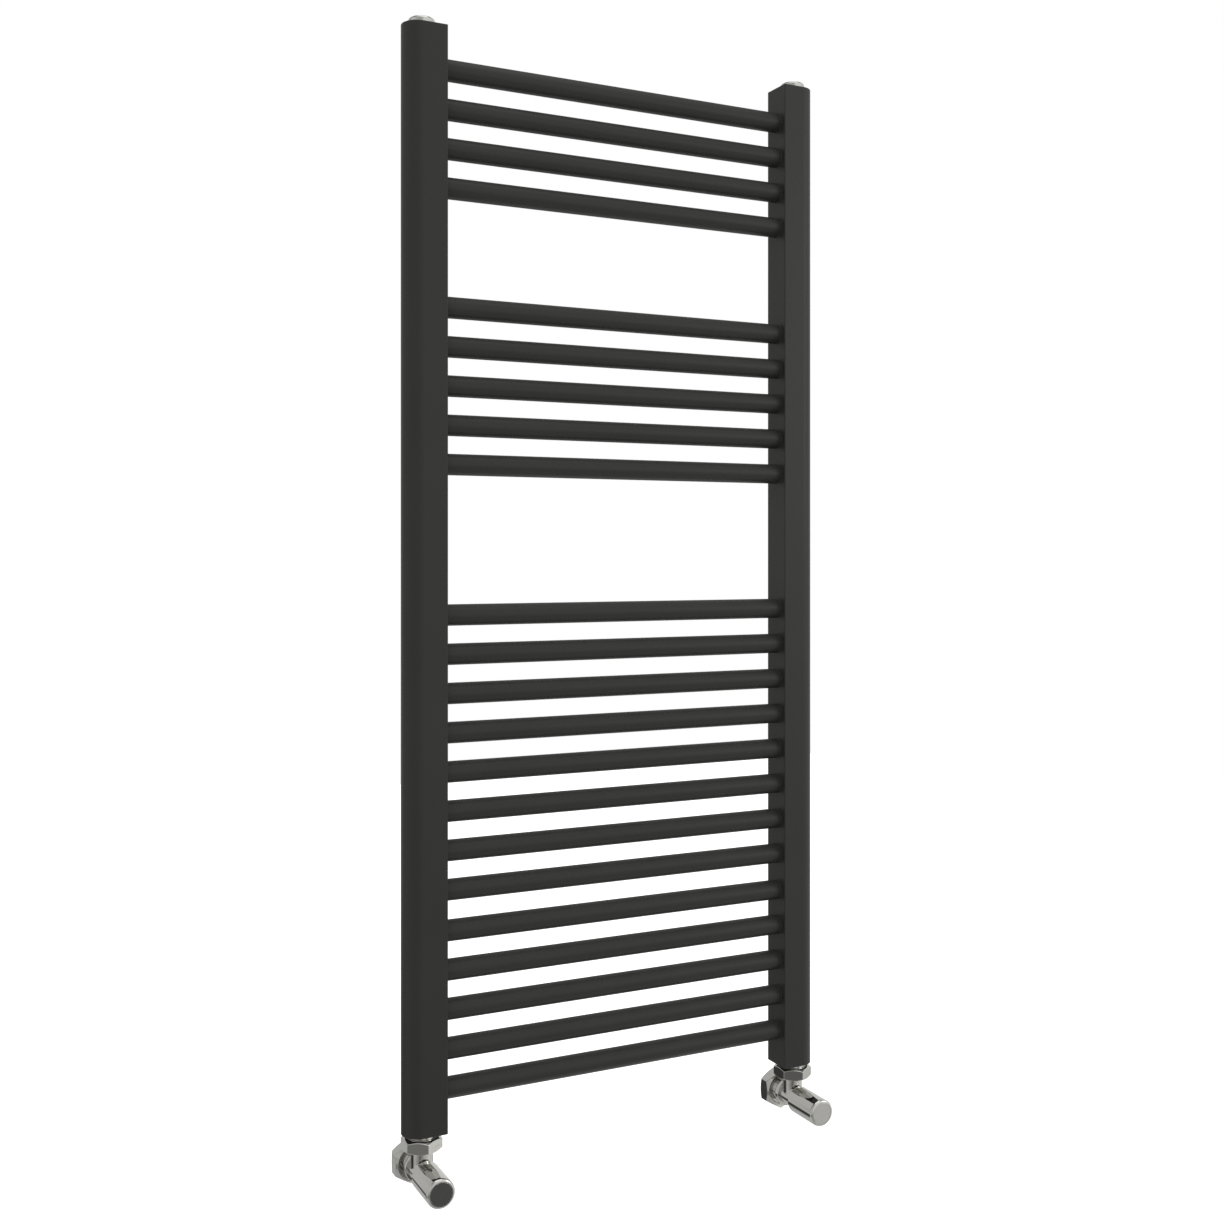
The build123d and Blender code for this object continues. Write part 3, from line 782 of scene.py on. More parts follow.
class Finishes:
    """Every finish of the radiator, by slot and side."""

    def __init__(self, valve_axis: Callable[[Side], Vector]) -> None:
        """Builds the materials.

        Args:
            valve_axis: Gives a point on a valve's horizontal axis.
        """
        kit = Kit()
        self.paint = PowderCoat().build(kit)
        self.chrome = Chrome().build(kit)
        self.satin = Chrome("satin_chrome", roughness=(0.10, 0.22), wave_scale=300.0).build(kit)
        self.rubber = Rubber().build(kit)
        self.brass = {}
        self.steel = {}
        for side in Side:
            axis = tuple(valve_axis(side))
            brass = TurnedMetal(f"{side.label}_turned_brass", (0.72, 0.52, 0.22), (0.45, 0.31, 0.13), axis)
            steel = TurnedMetal(f"{side.label}_zinc_plated_steel", (0.60, 0.61, 0.63), (0.46, 0.46, 0.45), axis)
            self.brass[side] = brass.build(kit)
            self.steel[side] = steel.build(kit)

    def of(self, slot: Slot, side: Side) -> bpy.types.Material:
        """The material of a slot.

        Args:
            slot: The record's slot.
            side: The side that the piece is on.

        Returns:
            The material.
        """
        both = {Slot.ANTHRACITE: self.paint, Slot.CHROME: self.chrome, Slot.RUBBER: self.rubber}
        if slot in both:
            return both[slot]
        return self.brass[side] if slot is Slot.BRASS else self.steel[side]


# ---------------------------------------------------------------- places read from the frame
def centre_of(node: str) -> Vector:
    """The middle of a CAD node's box."""
    low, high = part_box(node)
    return (Vector(low) + Vector(high)) / 2


def tapping(side: Side, top: bool) -> Vector:
    """The point where an upright's end crosses the axis of the thread in it.

    Args:
        side: Which upright.
        top: The upper end, or else the lower.

    Returns:
        The point.
    """
    low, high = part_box(f"{side.label}_upright")
    return Vector((centre_of(f"{side.label}_tailpiece").x, 0.0, high[2] if top else low[2]))


def valve_axis(side: Side) -> Vector:
    """The point where a valve's horizontal axis crosses the axis of its upright's thread."""
    handle = centre_of(f"{side.label}_handwheel")
    return Vector((handle.x, 0.0, handle.z))


class Workshop:
    """Takes finished pieces from the bench, dresses them and ties them to the frame."""

    def __init__(self) -> None:
        """Builds the finishes."""
        self.finishes = Finishes(valve_axis)

    def hand_over(
        self, piece: bpy.types.Object, slot: Slot, side: Side, body: str, *nodes: str, satin: bool = False
    ) -> None:
        """Dresses a finished piece and ties it to the frame.

        Args:
            piece: The finished piece.
            slot: The record's slot.
            side: The side that the piece is on.
            body: The CAD body that it rides on.
            nodes: The CAD nodes that it stands for.
            satin: Plated satin in place of polished.
        """
        Bench.shade(piece)
        piece.data.materials.clear()
        piece.data.materials.append(self.finishes.satin if satin else self.finishes.of(slot, side))
        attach(piece, body)
        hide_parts(*nodes)
        LOG.info("%s: %d faces, rides on %s", piece.name, len(piece.data.polygons), body)

    def dress_node(self, node: str, slot: Slot, side: Side) -> None:
        """Gives a CAD node that stays in view its finish.

        Args:
            node: The CAD node.
            slot: The record's slot.
            side: The side that it is on.
        """
        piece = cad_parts[node]
        if not piece.material_slots:
            piece.data.materials.append(None)
        for place in piece.material_slots:
            place.material = self.finishes.of(slot, side)
        LOG.info("%s: kept from the frame in %s", node, slot.value)


# ---------------------------------------------------------------- uprights, end plates and rails
@dataclass(frozen=True)
class Upright:
    """A D-section tube with a hole for each rail in its flat side; sizes in millimetres."""

    depth: float = 36.0
    wall: float = 1.5
    corner: float = 1.0
    rim: float = 0.3
    rail_hole: float = 22.06
    round_facets: int = 160

    def solid(self, inset: float, low: float, high: float) -> bpy.types.Object:
        """Builds the right upright's D-section as a solid.

        Args:
            inset: How far the outline moves in all round.
            low: Height of its lower end, in metres.
            high: Height of its upper end, in metres.

        Returns:
            The solid, with sharp edges.
        """
        inner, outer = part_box("right_upright")
        radius = self.depth / 2 * MM
        centre = outer[0] - radius
        flat = inner[0] + inset * MM
        Bench.deselect()
        bpy.ops.mesh.primitive_cylinder_add(
            vertices=self.round_facets,
            radius=radius - inset * MM,
            depth=high - low,
            location=(centre, 0, (low + high) / 2),
        )
        piece = bpy.context.object
        Bench.edit_all(piece)
        bpy.ops.mesh.bisect(plane_co=(centre, 0, 0), plane_no=(-1, 0, 0), use_fill=True, clear_outer=True)
        Bench.pick(piece, "FACE", lambda mesh, face: face.normal.x < -0.99)
        bpy.ops.mesh.extrude_region_move(TRANSFORM_OT_translate={"value": (flat - centre, 0, 0)})
        Bench.settle(piece)
        return piece

    def round_corners(self, piece: bpy.types.Object) -> None:
        """Rounds the two upright edges of the flat side.

        Args:
            piece: The D-section solid.
        """
        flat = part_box("right_upright")[0][0]

        def wanted(mesh: bpy.types.Mesh, edge: bpy.types.MeshEdge) -> bool:
            """Tells whether an edge runs up a corner of the flat side.

            Args:
                mesh: The solid's mesh.
                edge: The edge to judge.

            Returns:
                True on the two upright edges.
            """
            a, b = (mesh.vertices[index].co for index in edge.vertices)
            on_flat = max(abs(a.x - flat), abs(b.x - flat)) < Bench.SAME_PLACE
            return on_flat and abs(a.z - b.z) > MM

        Bench.pick(piece, "EDGE", wanted)
        bpy.ops.mesh.bevel(offset=self.corner * MM, segments=6, affect="EDGES")
        bpy.ops.object.mode_set(mode="OBJECT")

    def drill_rail_holes(self, piece: bpy.types.Object) -> None:
        """Cuts the hole of every rail.

        Args:
            piece: The right upright's tube.
        """
        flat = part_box("right_upright")[0][0]
        cutters = []
        for rail in Rails.nodes():
            height = centre_of(rail).z
            if not cutters:
                Bench.deselect()
                bpy.ops.mesh.primitive_cylinder_add(
                    vertices=64,
                    radius=self.rail_hole / 2 * MM,
                    depth=3 * self.wall * MM,
                    location=(flat, 0, height),
                    rotation=(0, math.pi / 2, 0),
                )
                Bench.settle(bpy.context.object)
                cutters.append(bpy.context.object)
                first = height
            else:
                cutters.append(Bench.copy(cutters[0], rail, Vector((0, 0, height - first))))
        Bench.combine(piece, Bench.join(cutters), "DIFFERENCE")

    def soften_rims(self, piece: bpy.types.Object, low: float, high: float) -> None:
        """Breaks the edges at the tube's two ends.

        Args:
            piece: The tube.
            low: Height of its lower end, in metres.
            high: Height of its upper end, in metres.
        """

        def wanted(mesh: bpy.types.Mesh, edge: bpy.types.MeshEdge) -> bool:
            """Tells whether an edge lies in one of the tube's end faces.

            Args:
                mesh: The tube's mesh.
                edge: The edge to judge.

            Returns:
                True on an end's rim.
            """
            heights = [mesh.vertices[index].co.z for index in edge.vertices]
            return any(all(abs(z - end) < Bench.SAME_PLACE for z in heights) for end in (low, high))

        Bench.pick(piece, "EDGE", wanted)
        bpy.ops.mesh.bevel(offset=self.rim * MM, segments=3, affect="EDGES")
        bpy.ops.object.mode_set(mode="OBJECT")

    def build(self, workshop: Workshop) -> None:
        """Builds both uprights.

        Args:
            workshop: Dresses the pieces.
        """
        low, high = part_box("right_upright")[0][2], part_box("right_upright")[1][2]
        right = self.solid(0.0, low, high)
        right.name = right.data.name = "painted_right_upright"
        self.round_corners(right)
        inside = self.solid(self.wall, low - 5 * MM, high + 5 * MM)
        Bench.combine(right, inside, "DIFFERENCE")
        self.drill_rail_holes(right)
        self.soften_rims(right, low, high)
        left = Bench.mirrored(right, "painted_left_upright", AXIS_X)
        workshop.hand_over(right, Slot.ANTHRACITE, Side.RIGHT, "radiator", "right_upright")
        workshop.hand_over(left, Slot.ANTHRACITE, Side.LEFT, "radiator", "left_upright")


@dataclass(frozen=True)
class EndPlates:
    """The plates in the uprights' four ends, each with a threaded boss inside; sizes in millimetres."""

    gap: float = 0.05
    recess: float = 0.2
    thickness: float = 4.0
    edge: float = 0.3
    boss: float = 28.0
    boss_depth: float = 14.0
    bore: float = 20.9
    lap: float = 0.5

    def build(self, workshop: Workshop, upright: Upright) -> None:
        """Builds the lower right plate and mirrors it to the other ends.

        Args:
            workshop: Dresses the pieces.
            upright: The tube that the plates close.
        """
        end = tapping(Side.RIGHT, top=False)
        inset = upright.wall + self.gap
        plate = upright.solid(inset, end.z + self.recess * MM, end.z + self.thickness * MM)
        plate.name = plate.data.name = "painted_end_plates"
        Bench.soften(plate, self.edge, steps=2, angle=60)
        boss = Bench.turned(
            "boss",
            [
                Corner(self.boss / 2, self.thickness - self.lap),
                Corner(self.boss / 2, self.boss_depth, 0.5),
                Corner(self.bore / 2 + self.lap, self.boss_depth),
                Corner(self.bore / 2 + self.lap, self.thickness - self.lap),
            ],
            end,
            AXIS_Z,
        )
        Bench.combine(plate, boss, "UNION")
        Bench.drilled(plate, end - AXIS_Z * 5 * MM, end + AXIS_Z * 20 * MM, self.bore, sides=96)
        left = Bench.mirrored(plate, "left", AXIS_X)
        lower = Bench.join([plate, left])
        upper = Bench.mirrored(lower, "upper", AXIS_Z)
        plates = Bench.join([lower, upper])
        workshop.hand_over(plates, Slot.ANTHRACITE, Side.RIGHT, "radiator", "end_plates")


@dataclass(frozen=True)
class Rails:
    """The round tubes between the uprights, each with a small brazed cove at both ends; in millimetres."""

    diameter: float = 22.0
    wall: float = 1.2
    cove: float = 0.7
    sink: float = 0.05

    @staticmethod
    def nodes() -> list[str]:
        """The rails' CAD nodes, from the top down."""
        return sorted(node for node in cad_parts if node.startswith("rail_"))

    def outline(self, flat: float, end: float) -> list[Corner]:
        """The rail's outline, with a cove against each upright.

        Args:
            flat: Distance of the uprights' flat sides from the middle.
            end: Distance of the rail's ends from the middle.

        Returns:
            The closed outline.
        """
        outer = self.diameter / 2
        inner = outer - self.wall
        brim = outer + self.cove + 0.02
        right = [
            Corner(outer, flat, self.cove),
            Corner(brim, flat),
            Corner(brim, flat + self.sink),
            Corner(outer, flat + self.sink),
            Corner(outer, end),
            Corner(inner, end),
        ]
        left = [Corner(corner.r, -corner.z, corner.rounding) for corner in reversed(right)]
        return right + left

    def build(self, workshop: Workshop) -> None:
        """Builds the top rail and copies it down the ladder.

        Args:
            workshop: Dresses the pieces.
        """
        nodes = self.nodes()
        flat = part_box("right_upright")[0][0] / MM
        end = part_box(nodes[0])[1][0] / MM
        top = centre_of(nodes[0])
        first = Bench.turned("painted_" + nodes[0], self.outline(flat, end), top, AXIS_X, segments=64)
        rails = [first]
        for node in nodes[1:]:
            rails.append(Bench.copy(first, "painted_" + node, centre_of(node) - top))
        for rail, node in zip(rails, nodes):
            workshop.hand_over(rail, Slot.ANTHRACITE, Side.LEFT, "radiator", node)


# ---------------------------------------------------------------- plugs in the upper threads
@dataclass(frozen=True)
class Plugs:
    """The air vent plug on the left and the blanking plug on the right; sizes in millimetres."""

    head: float = 27.0
    height: float = 7.4
    edge: float = 2.6
    shank: float = 20.8
    shank_length: float = 10.0
    seal_room: float = 25.4
    seal_depth: float = 1.2
    key: float = 10.0
    key_depth: float = 5.0
    recess_edge: float = 0.2
    chamber: float = 8.0
    chamber_floor: float = -1.0
    port: float = 3.0
    outlet: float = 1.8
    outlet_height: float = 1.4
    screw_top: float = 6.4
    screw_bottom: float = 0.5
    seal_socket: float = 2.5
    slot: float = 1.2
    slot_depth: float = 1.8
    running_gap: float = 0.05

    def outside(self) -> list[Corner]:
        """Draws the head and shank.

        Returns:
            The corners from the head's rim down to the shank's end.
        """
        return [
            Corner(self.head / 2, self.height, self.edge),
            Corner(self.head / 2, 0, 0.3),
            Corner(self.seal_room / 2, 0),
            Corner(self.seal_room / 2, self.seal_depth),
            Corner(self.shank / 2, self.seal_depth),
            Corner(self.shank / 2, -self.shank_length, 0.8),
        ]

    def build(self, workshop: Workshop) -> None:
        """Builds both plugs and the bleed screw.

        Args:
            workshop: Dresses the pieces.
        """
        self.blanking_plug(workshop)
        self.air_vent_plug(workshop)
        self.bleed_screw(workshop)

    def blanking_plug(self, workshop: Workshop) -> None:
        """Builds the closed plug, with its hexagonal key recess.

        Args:
            workshop: Dresses the piece.
        """
        end = tapping(Side.RIGHT, top=True)
        outline = [Corner(0, self.height), *self.outside(), Corner(0, -self.shank_length)]
        plug = Bench.turned("chromed_blanking_plug", outline, end, AXIS_Z, closed=False)
        floor = end + AXIS_Z * (self.height - self.key_depth) * MM
        Bench.drilled(plug, floor, end + AXIS_Z * 2 * self.height * MM, self.key * HEX_CORNERS, sides=6)
        self.break_edges(plug, end, self.key)
        workshop.hand_over(plug, Slot.CHROME, Side.RIGHT, "radiator", "blanking_plug")

    def break_edges(self, plug: bpy.types.Object, end: Vector, width: float) -> None:
        """Breaks the rim of the recess in a plug's top.

        Args:
            plug: The plug.
            end: Where its axis meets the upright's end.
            width: The recess's width across flats.
        """
        top = end.z + self.height * MM
        reach = (width / 2 * HEX_CORNERS + 0.1) * MM

        def wanted(mesh: bpy.types.Mesh, edge: bpy.types.MeshEdge) -> bool:
            """Tells whether an edge lies on the recess's rim.

            Args:
                mesh: The plug's mesh.
                edge: The edge to judge.

            Returns:
                True on the rim.
            """
            ends = [mesh.vertices[index].co for index in edge.vertices]
            level = all(abs(place.z - top) < Bench.SAME_PLACE for place in ends)
            return level and all(reach / 5 < (place - end).xy.length < reach for place in ends)

        Bench.pick(plug, "EDGE", wanted)
        bpy.ops.mesh.bevel(offset=self.recess_edge * MM, segments=2, affect="EDGES")
        bpy.ops.object.mode_set(mode="OBJECT")

    def air_vent_plug(self, workshop: Workshop) -> None:
        """Builds the plug with the vent's chamber, seat, port and side outlet.

        Args:
            workshop: Dresses the piece.
        """
        end = tapping(Side.LEFT, top=True)
        outline = [
            *self.outside(),
            Corner(self.port / 2, -self.shank_length),
            Corner(self.port / 2, self.chamber_floor),
            Corner(self.chamber / 2, self.chamber_floor),
            Corner(self.chamber / 2, self.height, 0.25),
        ]
        plug = Bench.turned("chromed_air_vent_plug", outline, end, AXIS_Z)
        start = end + AXIS_Z * self.outlet_height * MM
        Bench.drilled(plug, start, start + AXIS_Y * self.head * MM, self.outlet, sides=24)
        workshop.hand_over(plug, Slot.CHROME, Side.LEFT, "radiator", "air_vent_plug")

    def bleed_screw(self, workshop: Workshop) -> None:
        """Builds the slotted screw in the vent plug.

        Args:
            workshop: Dresses the piece.
        """
        end = tapping(Side.LEFT, top=True)
        socket_top = (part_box("vent_seal")[1][2] - end.z) / MM + self.running_gap
        outline = [
            Corner(0, self.screw_top),
            Corner(self.chamber / 2 - self.running_gap, self.screw_top, 0.45),
            Corner(self.chamber / 2 - self.running_gap, self.screw_bottom),
            Corner(self.seal_socket / 2, self.screw_bottom),
            Corner(self.seal_socket / 2, socket_top),
            Corner(0, socket_top),
        ]
        screw = Bench.turned("chromed_vent_screw", outline, end, AXIS_Z, closed=False, segments=64)
        Bench.deselect()
        bpy.ops.mesh.primitive_cube_add(size=1, location=end + AXIS_Z * self.screw_top * MM)
        cutter = bpy.context.object
        cutter.scale = Vector((self.chamber * 1.5, self.slot, 2 * self.slot_depth)) * MM
        Bench.combine(screw, cutter, "DIFFERENCE")
        Bench.soften(screw, 0.08, steps=2, angle=50)
        workshop.hand_over(screw, Slot.CHROME, Side.LEFT, "vent_spindle", "vent_screw")


# ---------------------------------------------------------------- valve: collar and nuts
@dataclass(frozen=True)
class HexNut:
    """A hexagonal nut with a turned chamfer at both ends; sizes in millimetres."""

    across_flats: float
    low: float
    high: float
    washer_face: float = 0.92
    spare: float = 0.4
    chamfer: float = 30.0
    edge: float = 0.45

    def blank(self) -> list[Corner]:
        """Draws the outside of the turned blank, whose bar stands a little past the corners of the hexagon.

        Returns:
            The corners from its low end to its high end.
        """
        bar = self.across_flats / 2 * HEX_CORNERS + self.spare
        face = self.washer_face * self.across_flats / 2
        slope = (bar - face) * math.tan(math.radians(self.chamfer))
        return [
            Corner(face, self.low),
            Corner(bar, self.low + slope),
            Corner(bar, self.high - slope),
            Corner(face, self.high),
        ]

    def build(
        self, name: str, bore: Sequence[Corner], origin: Vector, axis: Vector, first: Vector
    ) -> bpy.types.Object:
        """Turns the blank with its bore, and mills the flats.

        Args:
            name: The nut's name.
            bore: The bore's outline, from the high end to the low end.
            origin: Zero of the heights.
            axis: The direction of the axis.
            first: The outward normal of one flat.

        Returns:
            The nut.
        """
        nut = Bench.turned(name, [*self.blank(), *bore], origin, axis, segments=72)
        Bench.milled(nut, origin, first, axis, self.across_flats)
        Bench.soften(nut, self.edge, steps=4, angle=22)
        return nut


@dataclass(frozen=True)
class UnionJoint:
    """The collar under the upright and the union nut below it; sizes in millimetres."""

    collar: float = 30.0
    collar_height: float = 3.4
    collar_edge: float = 0.6
    bore: float = 20.9
    seal_room: float = 25.4
    seal_depth: float = 1.2
    nut: HexNut = HexNut(37.4, -17.0, -3.4)
    lip: float = 2.6
    lip_bore: float = 21.0
    thread: float = 29.0

    def build(self, workshop: Workshop) -> None:
        """Builds both collars and both union nuts.

        Args:
            workshop: Dresses the pieces.
        """
        left_end = tapping(Side.LEFT, top=False)
        across = tapping(Side.RIGHT, top=False) - left_end
        outline = [
            Corner(self.collar / 2, 0, self.collar_edge),
            Corner(self.collar / 2, -self.collar_height, self.collar_edge),
            Corner(self.bore / 2, -self.collar_height),
            Corner(self.bore / 2, -self.seal_depth),
            Corner(self.seal_room / 2, -self.seal_depth),
            Corner(self.seal_room / 2, 0),
        ]
        left = Bench.turned("chromed_tail_collars", outline, left_end, AXIS_Z)
        right = Bench.copy(left, "right", across)
        collars = Bench.join([left, right])
        workshop.hand_over(collars, Slot.CHROME, Side.LEFT, "radiator", "tail_collars")
        bore = [
            Corner(self.lip_bore / 2, self.nut.high),
            Corner(self.lip_bore / 2, self.nut.high - self.lip),
            Corner(self.thread / 2, self.nut.high - self.lip),
            Corner(self.thread / 2, self.nut.low),
        ]
        nut = self.nut.build("chromed_left_union_nut", bore, left_end, AXIS_Z, AXIS_X)
        twin = Bench.copy(nut, "chromed_right_union_nut", across)
        for piece, side in ((nut, Side.LEFT), (twin, Side.RIGHT)):
            workshop.hand_over(piece, Slot.CHROME, side, "radiator", f"{side.label}_union_nut")


# ---------------------------------------------------------------- valve: body and compression nut
@dataclass(frozen=True)
class ValveBody:
    """The forged angle body with its machined ends; sizes in millimetres from the valve's axes."""

    neck: float = 22.0
    neck_bore: float = 14.0
    union_thread: float = 28.9
    cone: float = 18.7
    cone_length: float = 1.65
    barrel: float = 23.4
    barrel_front: float = -11.5
    boss: float = 29.2
    boss_front: float = 8.5
    boss_back: float = 14.0
    boss_edge: float = 0.8
    pipe_thread: float = 23.9
    thread_front: float = 17.0
    back: float = 32.0
    thread_pitch: float = 1.5
    thread_depth: float = 0.6
    thread_crest: float = 0.5
    thread_root: float = 0.5
    olive_seat: float = 18.2
    olive_seat_depth: float = 2.6
    pipe_socket: float = 15.2
    pipe_stop: float = 17.0
    seat_bore: float = 11.0
    seat_face: float = 9.0
    seat: float = 13.6
    chamber: float = 16.0
    chamber_end: float = 10.5
    bonnet_thread: float = 18.0
    bonnet_thread_end: float = -4.0
    nut_gap: float = 0.4
    blend: float = 1.6
    voxel: float = 0.32

    def forging(self, origin: Vector, top: float) -> bpy.types.Object:
        """Builds the neck and barrel as one forging with a blended joint.

        Args:
            origin: Where the valve's two axes cross.
            top: Height of the neck's end over the horizontal axis, in millimetres.

        Returns:
            The solid forging.
        """
        barrel = Bench.turned(
            "chromed_left_valve_body",
            [
                Corner(0, self.barrel_front),
                Corner(self.barrel / 2, self.barrel_front, 0.5),
                Corner(self.barrel / 2, self.boss_front + 4),
                Corner(0, self.boss_front + 4),
            ],
            origin,
            AXIS_Y,
            closed=False,
        )
        neck = Bench.turned(
            "neck",
            [Corner(0, 0), Corner(self.neck / 2, 0), Corner(self.neck / 2, top), Corner(0, top)],
            origin,
            AXIS_Z,
            closed=False,
        )
        Bench.combine(barrel, neck, "UNION")
        self.blend_joint(barrel, origin)
        return barrel

    def blend_joint(self, forging: bpy.types.Object, origin: Vector) -> None:
        """Remeshes the forging and melts the corner between neck and barrel.

        Args:
            forging: The joined solids.
            origin: Where the valve's two axes cross.
        """
        Bench.activate(forging)
        remesh = forging.modifiers.new("clay", "REMESH")
        remesh.mode = "VOXEL"
        remesh.voxel_size = self.voxel * MM
        bpy.ops.object.modifier_apply(modifier=remesh.name)
        near = forging.vertex_groups.new(name="joint")
        neck, barrel = self.neck / 2 * MM, self.barrel / 2 * MM
        for vertex in forging.data.vertices:
            place = vertex.co - origin
            to_neck = abs(Vector((place.x, place.y)).length - neck)
            to_barrel = abs(Vector((place.x, place.z)).length - barrel)
            distance = math.hypot(to_neck, to_barrel)
            weight = max(0.0, 1.0 - distance / (2 * self.blend * MM))
            if weight > 0 and place.z > 0:
                near.add([vertex.index], min(1.0, 2 * weight), "REPLACE")
        for group, repeats in (("", 4), (near.name, 30)):
            smooth = forging.modifiers.new("melt", "SMOOTH")
            smooth.vertex_group = group
            smooth.factor = 0.5
            smooth.iterations = repeats
            bpy.ops.object.modifier_apply(modifier=smooth.name)

    def machined(self, origin: Vector, top: float, thread_end: float) -> list[bpy.types.Object]:
        """Turns the boss with its thread, and the union thread round the neck.

        Args:
            origin: Where the valve's two axes cross.
            top: Height of the neck's end, in millimetres.
            thread_end: Height of the union thread's lower end, in millimetres.

        Returns:
            The two turned rings.
        """
        crest = self.pipe_thread / 2
        root = crest - self.thread_depth
        ridge = [Corner(root, self.boss_back), Corner(root, self.thread_front - self.thread_root)]
        turns = int((self.back - self.thread_front - 0.2) / self.thread_pitch)
        for turn in range(turns):
            start = self.thread_front + turn * self.thread_pitch
            crest_end = start + self.thread_crest
            ridge += [Corner(crest, start), Corner(crest, crest_end), Corner(root, crest_end + self.thread_root)]
        boss = Bench.turned(
            "boss",
            [
                Corner(4.0, self.boss_front),
                Corner(self.boss / 2, self.boss_front, self.boss_edge),
                Corner(self.boss / 2, self.boss_back, self.boss_edge),
                *ridge,
                Corner(root, self.back, 0.3),
                Corner(4.0, self.back),
            ],
            origin,
            AXIS_Y,
        )
        thread = Bench.turned(
            "union thread",
            [
                Corner(self.neck / 2 - 1, thread_end),
                Corner(self.union_thread / 2, thread_end, 0.4),
                Corner(self.union_thread / 2, top, 0.4),
                Corner(self.neck / 2 - 1, top),
            ],
            origin,
            AXIS_Z,
        )
        return [boss, thread]

    def waterway(self, origin: Vector) -> bpy.types.Object:
        """Builds the hollow from the pipe socket through the seat to the bonnet's thread.

        Args:
            origin: Where the valve's two axes cross.

        Returns:
            The hollow as a solid.
        """
        hollow = [
            (0, self.back + Bench.OVERCUT),
            (self.olive_seat, self.back + Bench.OVERCUT),
            (self.olive_seat, self.back),
            (self.pipe_socket, self.back - self.olive_seat_depth),
            (self.pipe_socket, self.pipe_stop),
            (self.seat_bore, self.pipe_stop),
            (self.seat_bore, self.seat_face),
            (self.seat, self.seat_face),
            (self.seat, self.chamber_end),
            (self.chamber, self.chamber_end),
            (self.chamber, self.bonnet_thread_end),
            (self.bonnet_thread, self.bonnet_thread_end),
            (self.bonnet_thread, self.barrel_front - Bench.OVERCUT),
            (0, self.barrel_front - Bench.OVERCUT),
        ]
        corners = [Corner(diameter / 2, place) for diameter, place in hollow]
        return Bench.turned("hollow", corners, origin, AXIS_Y, closed=False)

    def branch(self, origin: Vector, top: float) -> bpy.types.Object:
        """Builds the hollow of the branch up to the tail piece, with its sealing cone.

        Args:
            origin: Where the valve's two axes cross.
            top: Height of the neck's end, in millimetres.

        Returns:
            The hollow as a solid.
        """
        cone_end = top - self.cone_length
        hollow = [
            Corner(0, top + Bench.OVERCUT),
            Corner(self.cone / 2, top + Bench.OVERCUT),
            Corner(self.cone / 2, top),
            Corner(self.cone / 2 - self.cone_length / 2, cone_end),
            Corner(self.neck_bore / 2, cone_end),
            Corner(self.neck_bore / 2, 0),
            Corner(0, 0),
        ]
        return Bench.turned("branch", hollow, origin, AXIS_Z, closed=False)

    def build(self, workshop: Workshop) -> None:
        """Builds the left body and copies it to the right.

        Args:
            workshop: Dresses the pieces.
        """
        origin = valve_axis(Side.LEFT)
        top = (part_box("left_valve_body")[1][2] - origin.z) / MM
        thread_end = (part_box("left_union_nut")[0][2] - origin.z) / MM - self.nut_gap
        body = self.forging(origin, top)
        for part in self.machined(origin, top, thread_end):
            Bench.combine(body, part, "UNION")
        for hollow in (self.waterway(origin), self.branch(origin, top)):
            Bench.combine(body, hollow, "DIFFERENCE")
        twin = Bench.copy(body, "chromed_right_valve_body", valve_axis(Side.RIGHT) - origin)
        for piece, side in ((body, Side.LEFT), (twin, Side.RIGHT)):
            workshop.hand_over(piece, Slot.CHROME, side, "radiator", f"{side.label}_valve_body")


@dataclass(frozen=True)
class CompressionJoint:
    """The nut that presses the olive onto the pipe; sizes in millimetres from the valve's axes."""

    nut: HexNut = HexNut(40.0, 21.0, 37.5)
    lip: float = 15.6
    cone_back: float = 35.45
    cone_front: float = 33.45
    olive: float = 18.2
    thread: float = 24.0
    mouth: float = 31.2
    mouth_depth: float = 1.4
    mouth_chamfer: float = 1.2

    def build(self, workshop: Workshop) -> None:
        """Builds both nuts.

        Args:
            workshop: Dresses the pieces.
        """
        origin = valve_axis(Side.LEFT)
        bore = [
            Corner(self.lip / 2, self.nut.high),
            Corner(self.lip / 2, self.cone_back),
            Corner(self.olive / 2, self.cone_front),
            Corner(self.thread / 2, self.cone_front),
            Corner(self.thread / 2, self.nut.low + self.mouth_depth),
            Corner(self.mouth / 2, self.nut.low + self.mouth_depth),
            Corner(self.mouth / 2 + self.mouth_chamfer, self.nut.low),
        ]
        nut = self.nut.build("chromed_left_compression_nut", bore, origin, AXIS_Y, AXIS_X)
        twin = Bench.copy(nut, "chromed_right_compression_nut", valve_axis(Side.RIGHT) - origin)
        for piece, side in ((nut, Side.LEFT), (twin, Side.RIGHT)):
            workshop.hand_over(piece, Slot.CHROME, side, "radiator", f"{side.label}_compression_nut", satin=True)


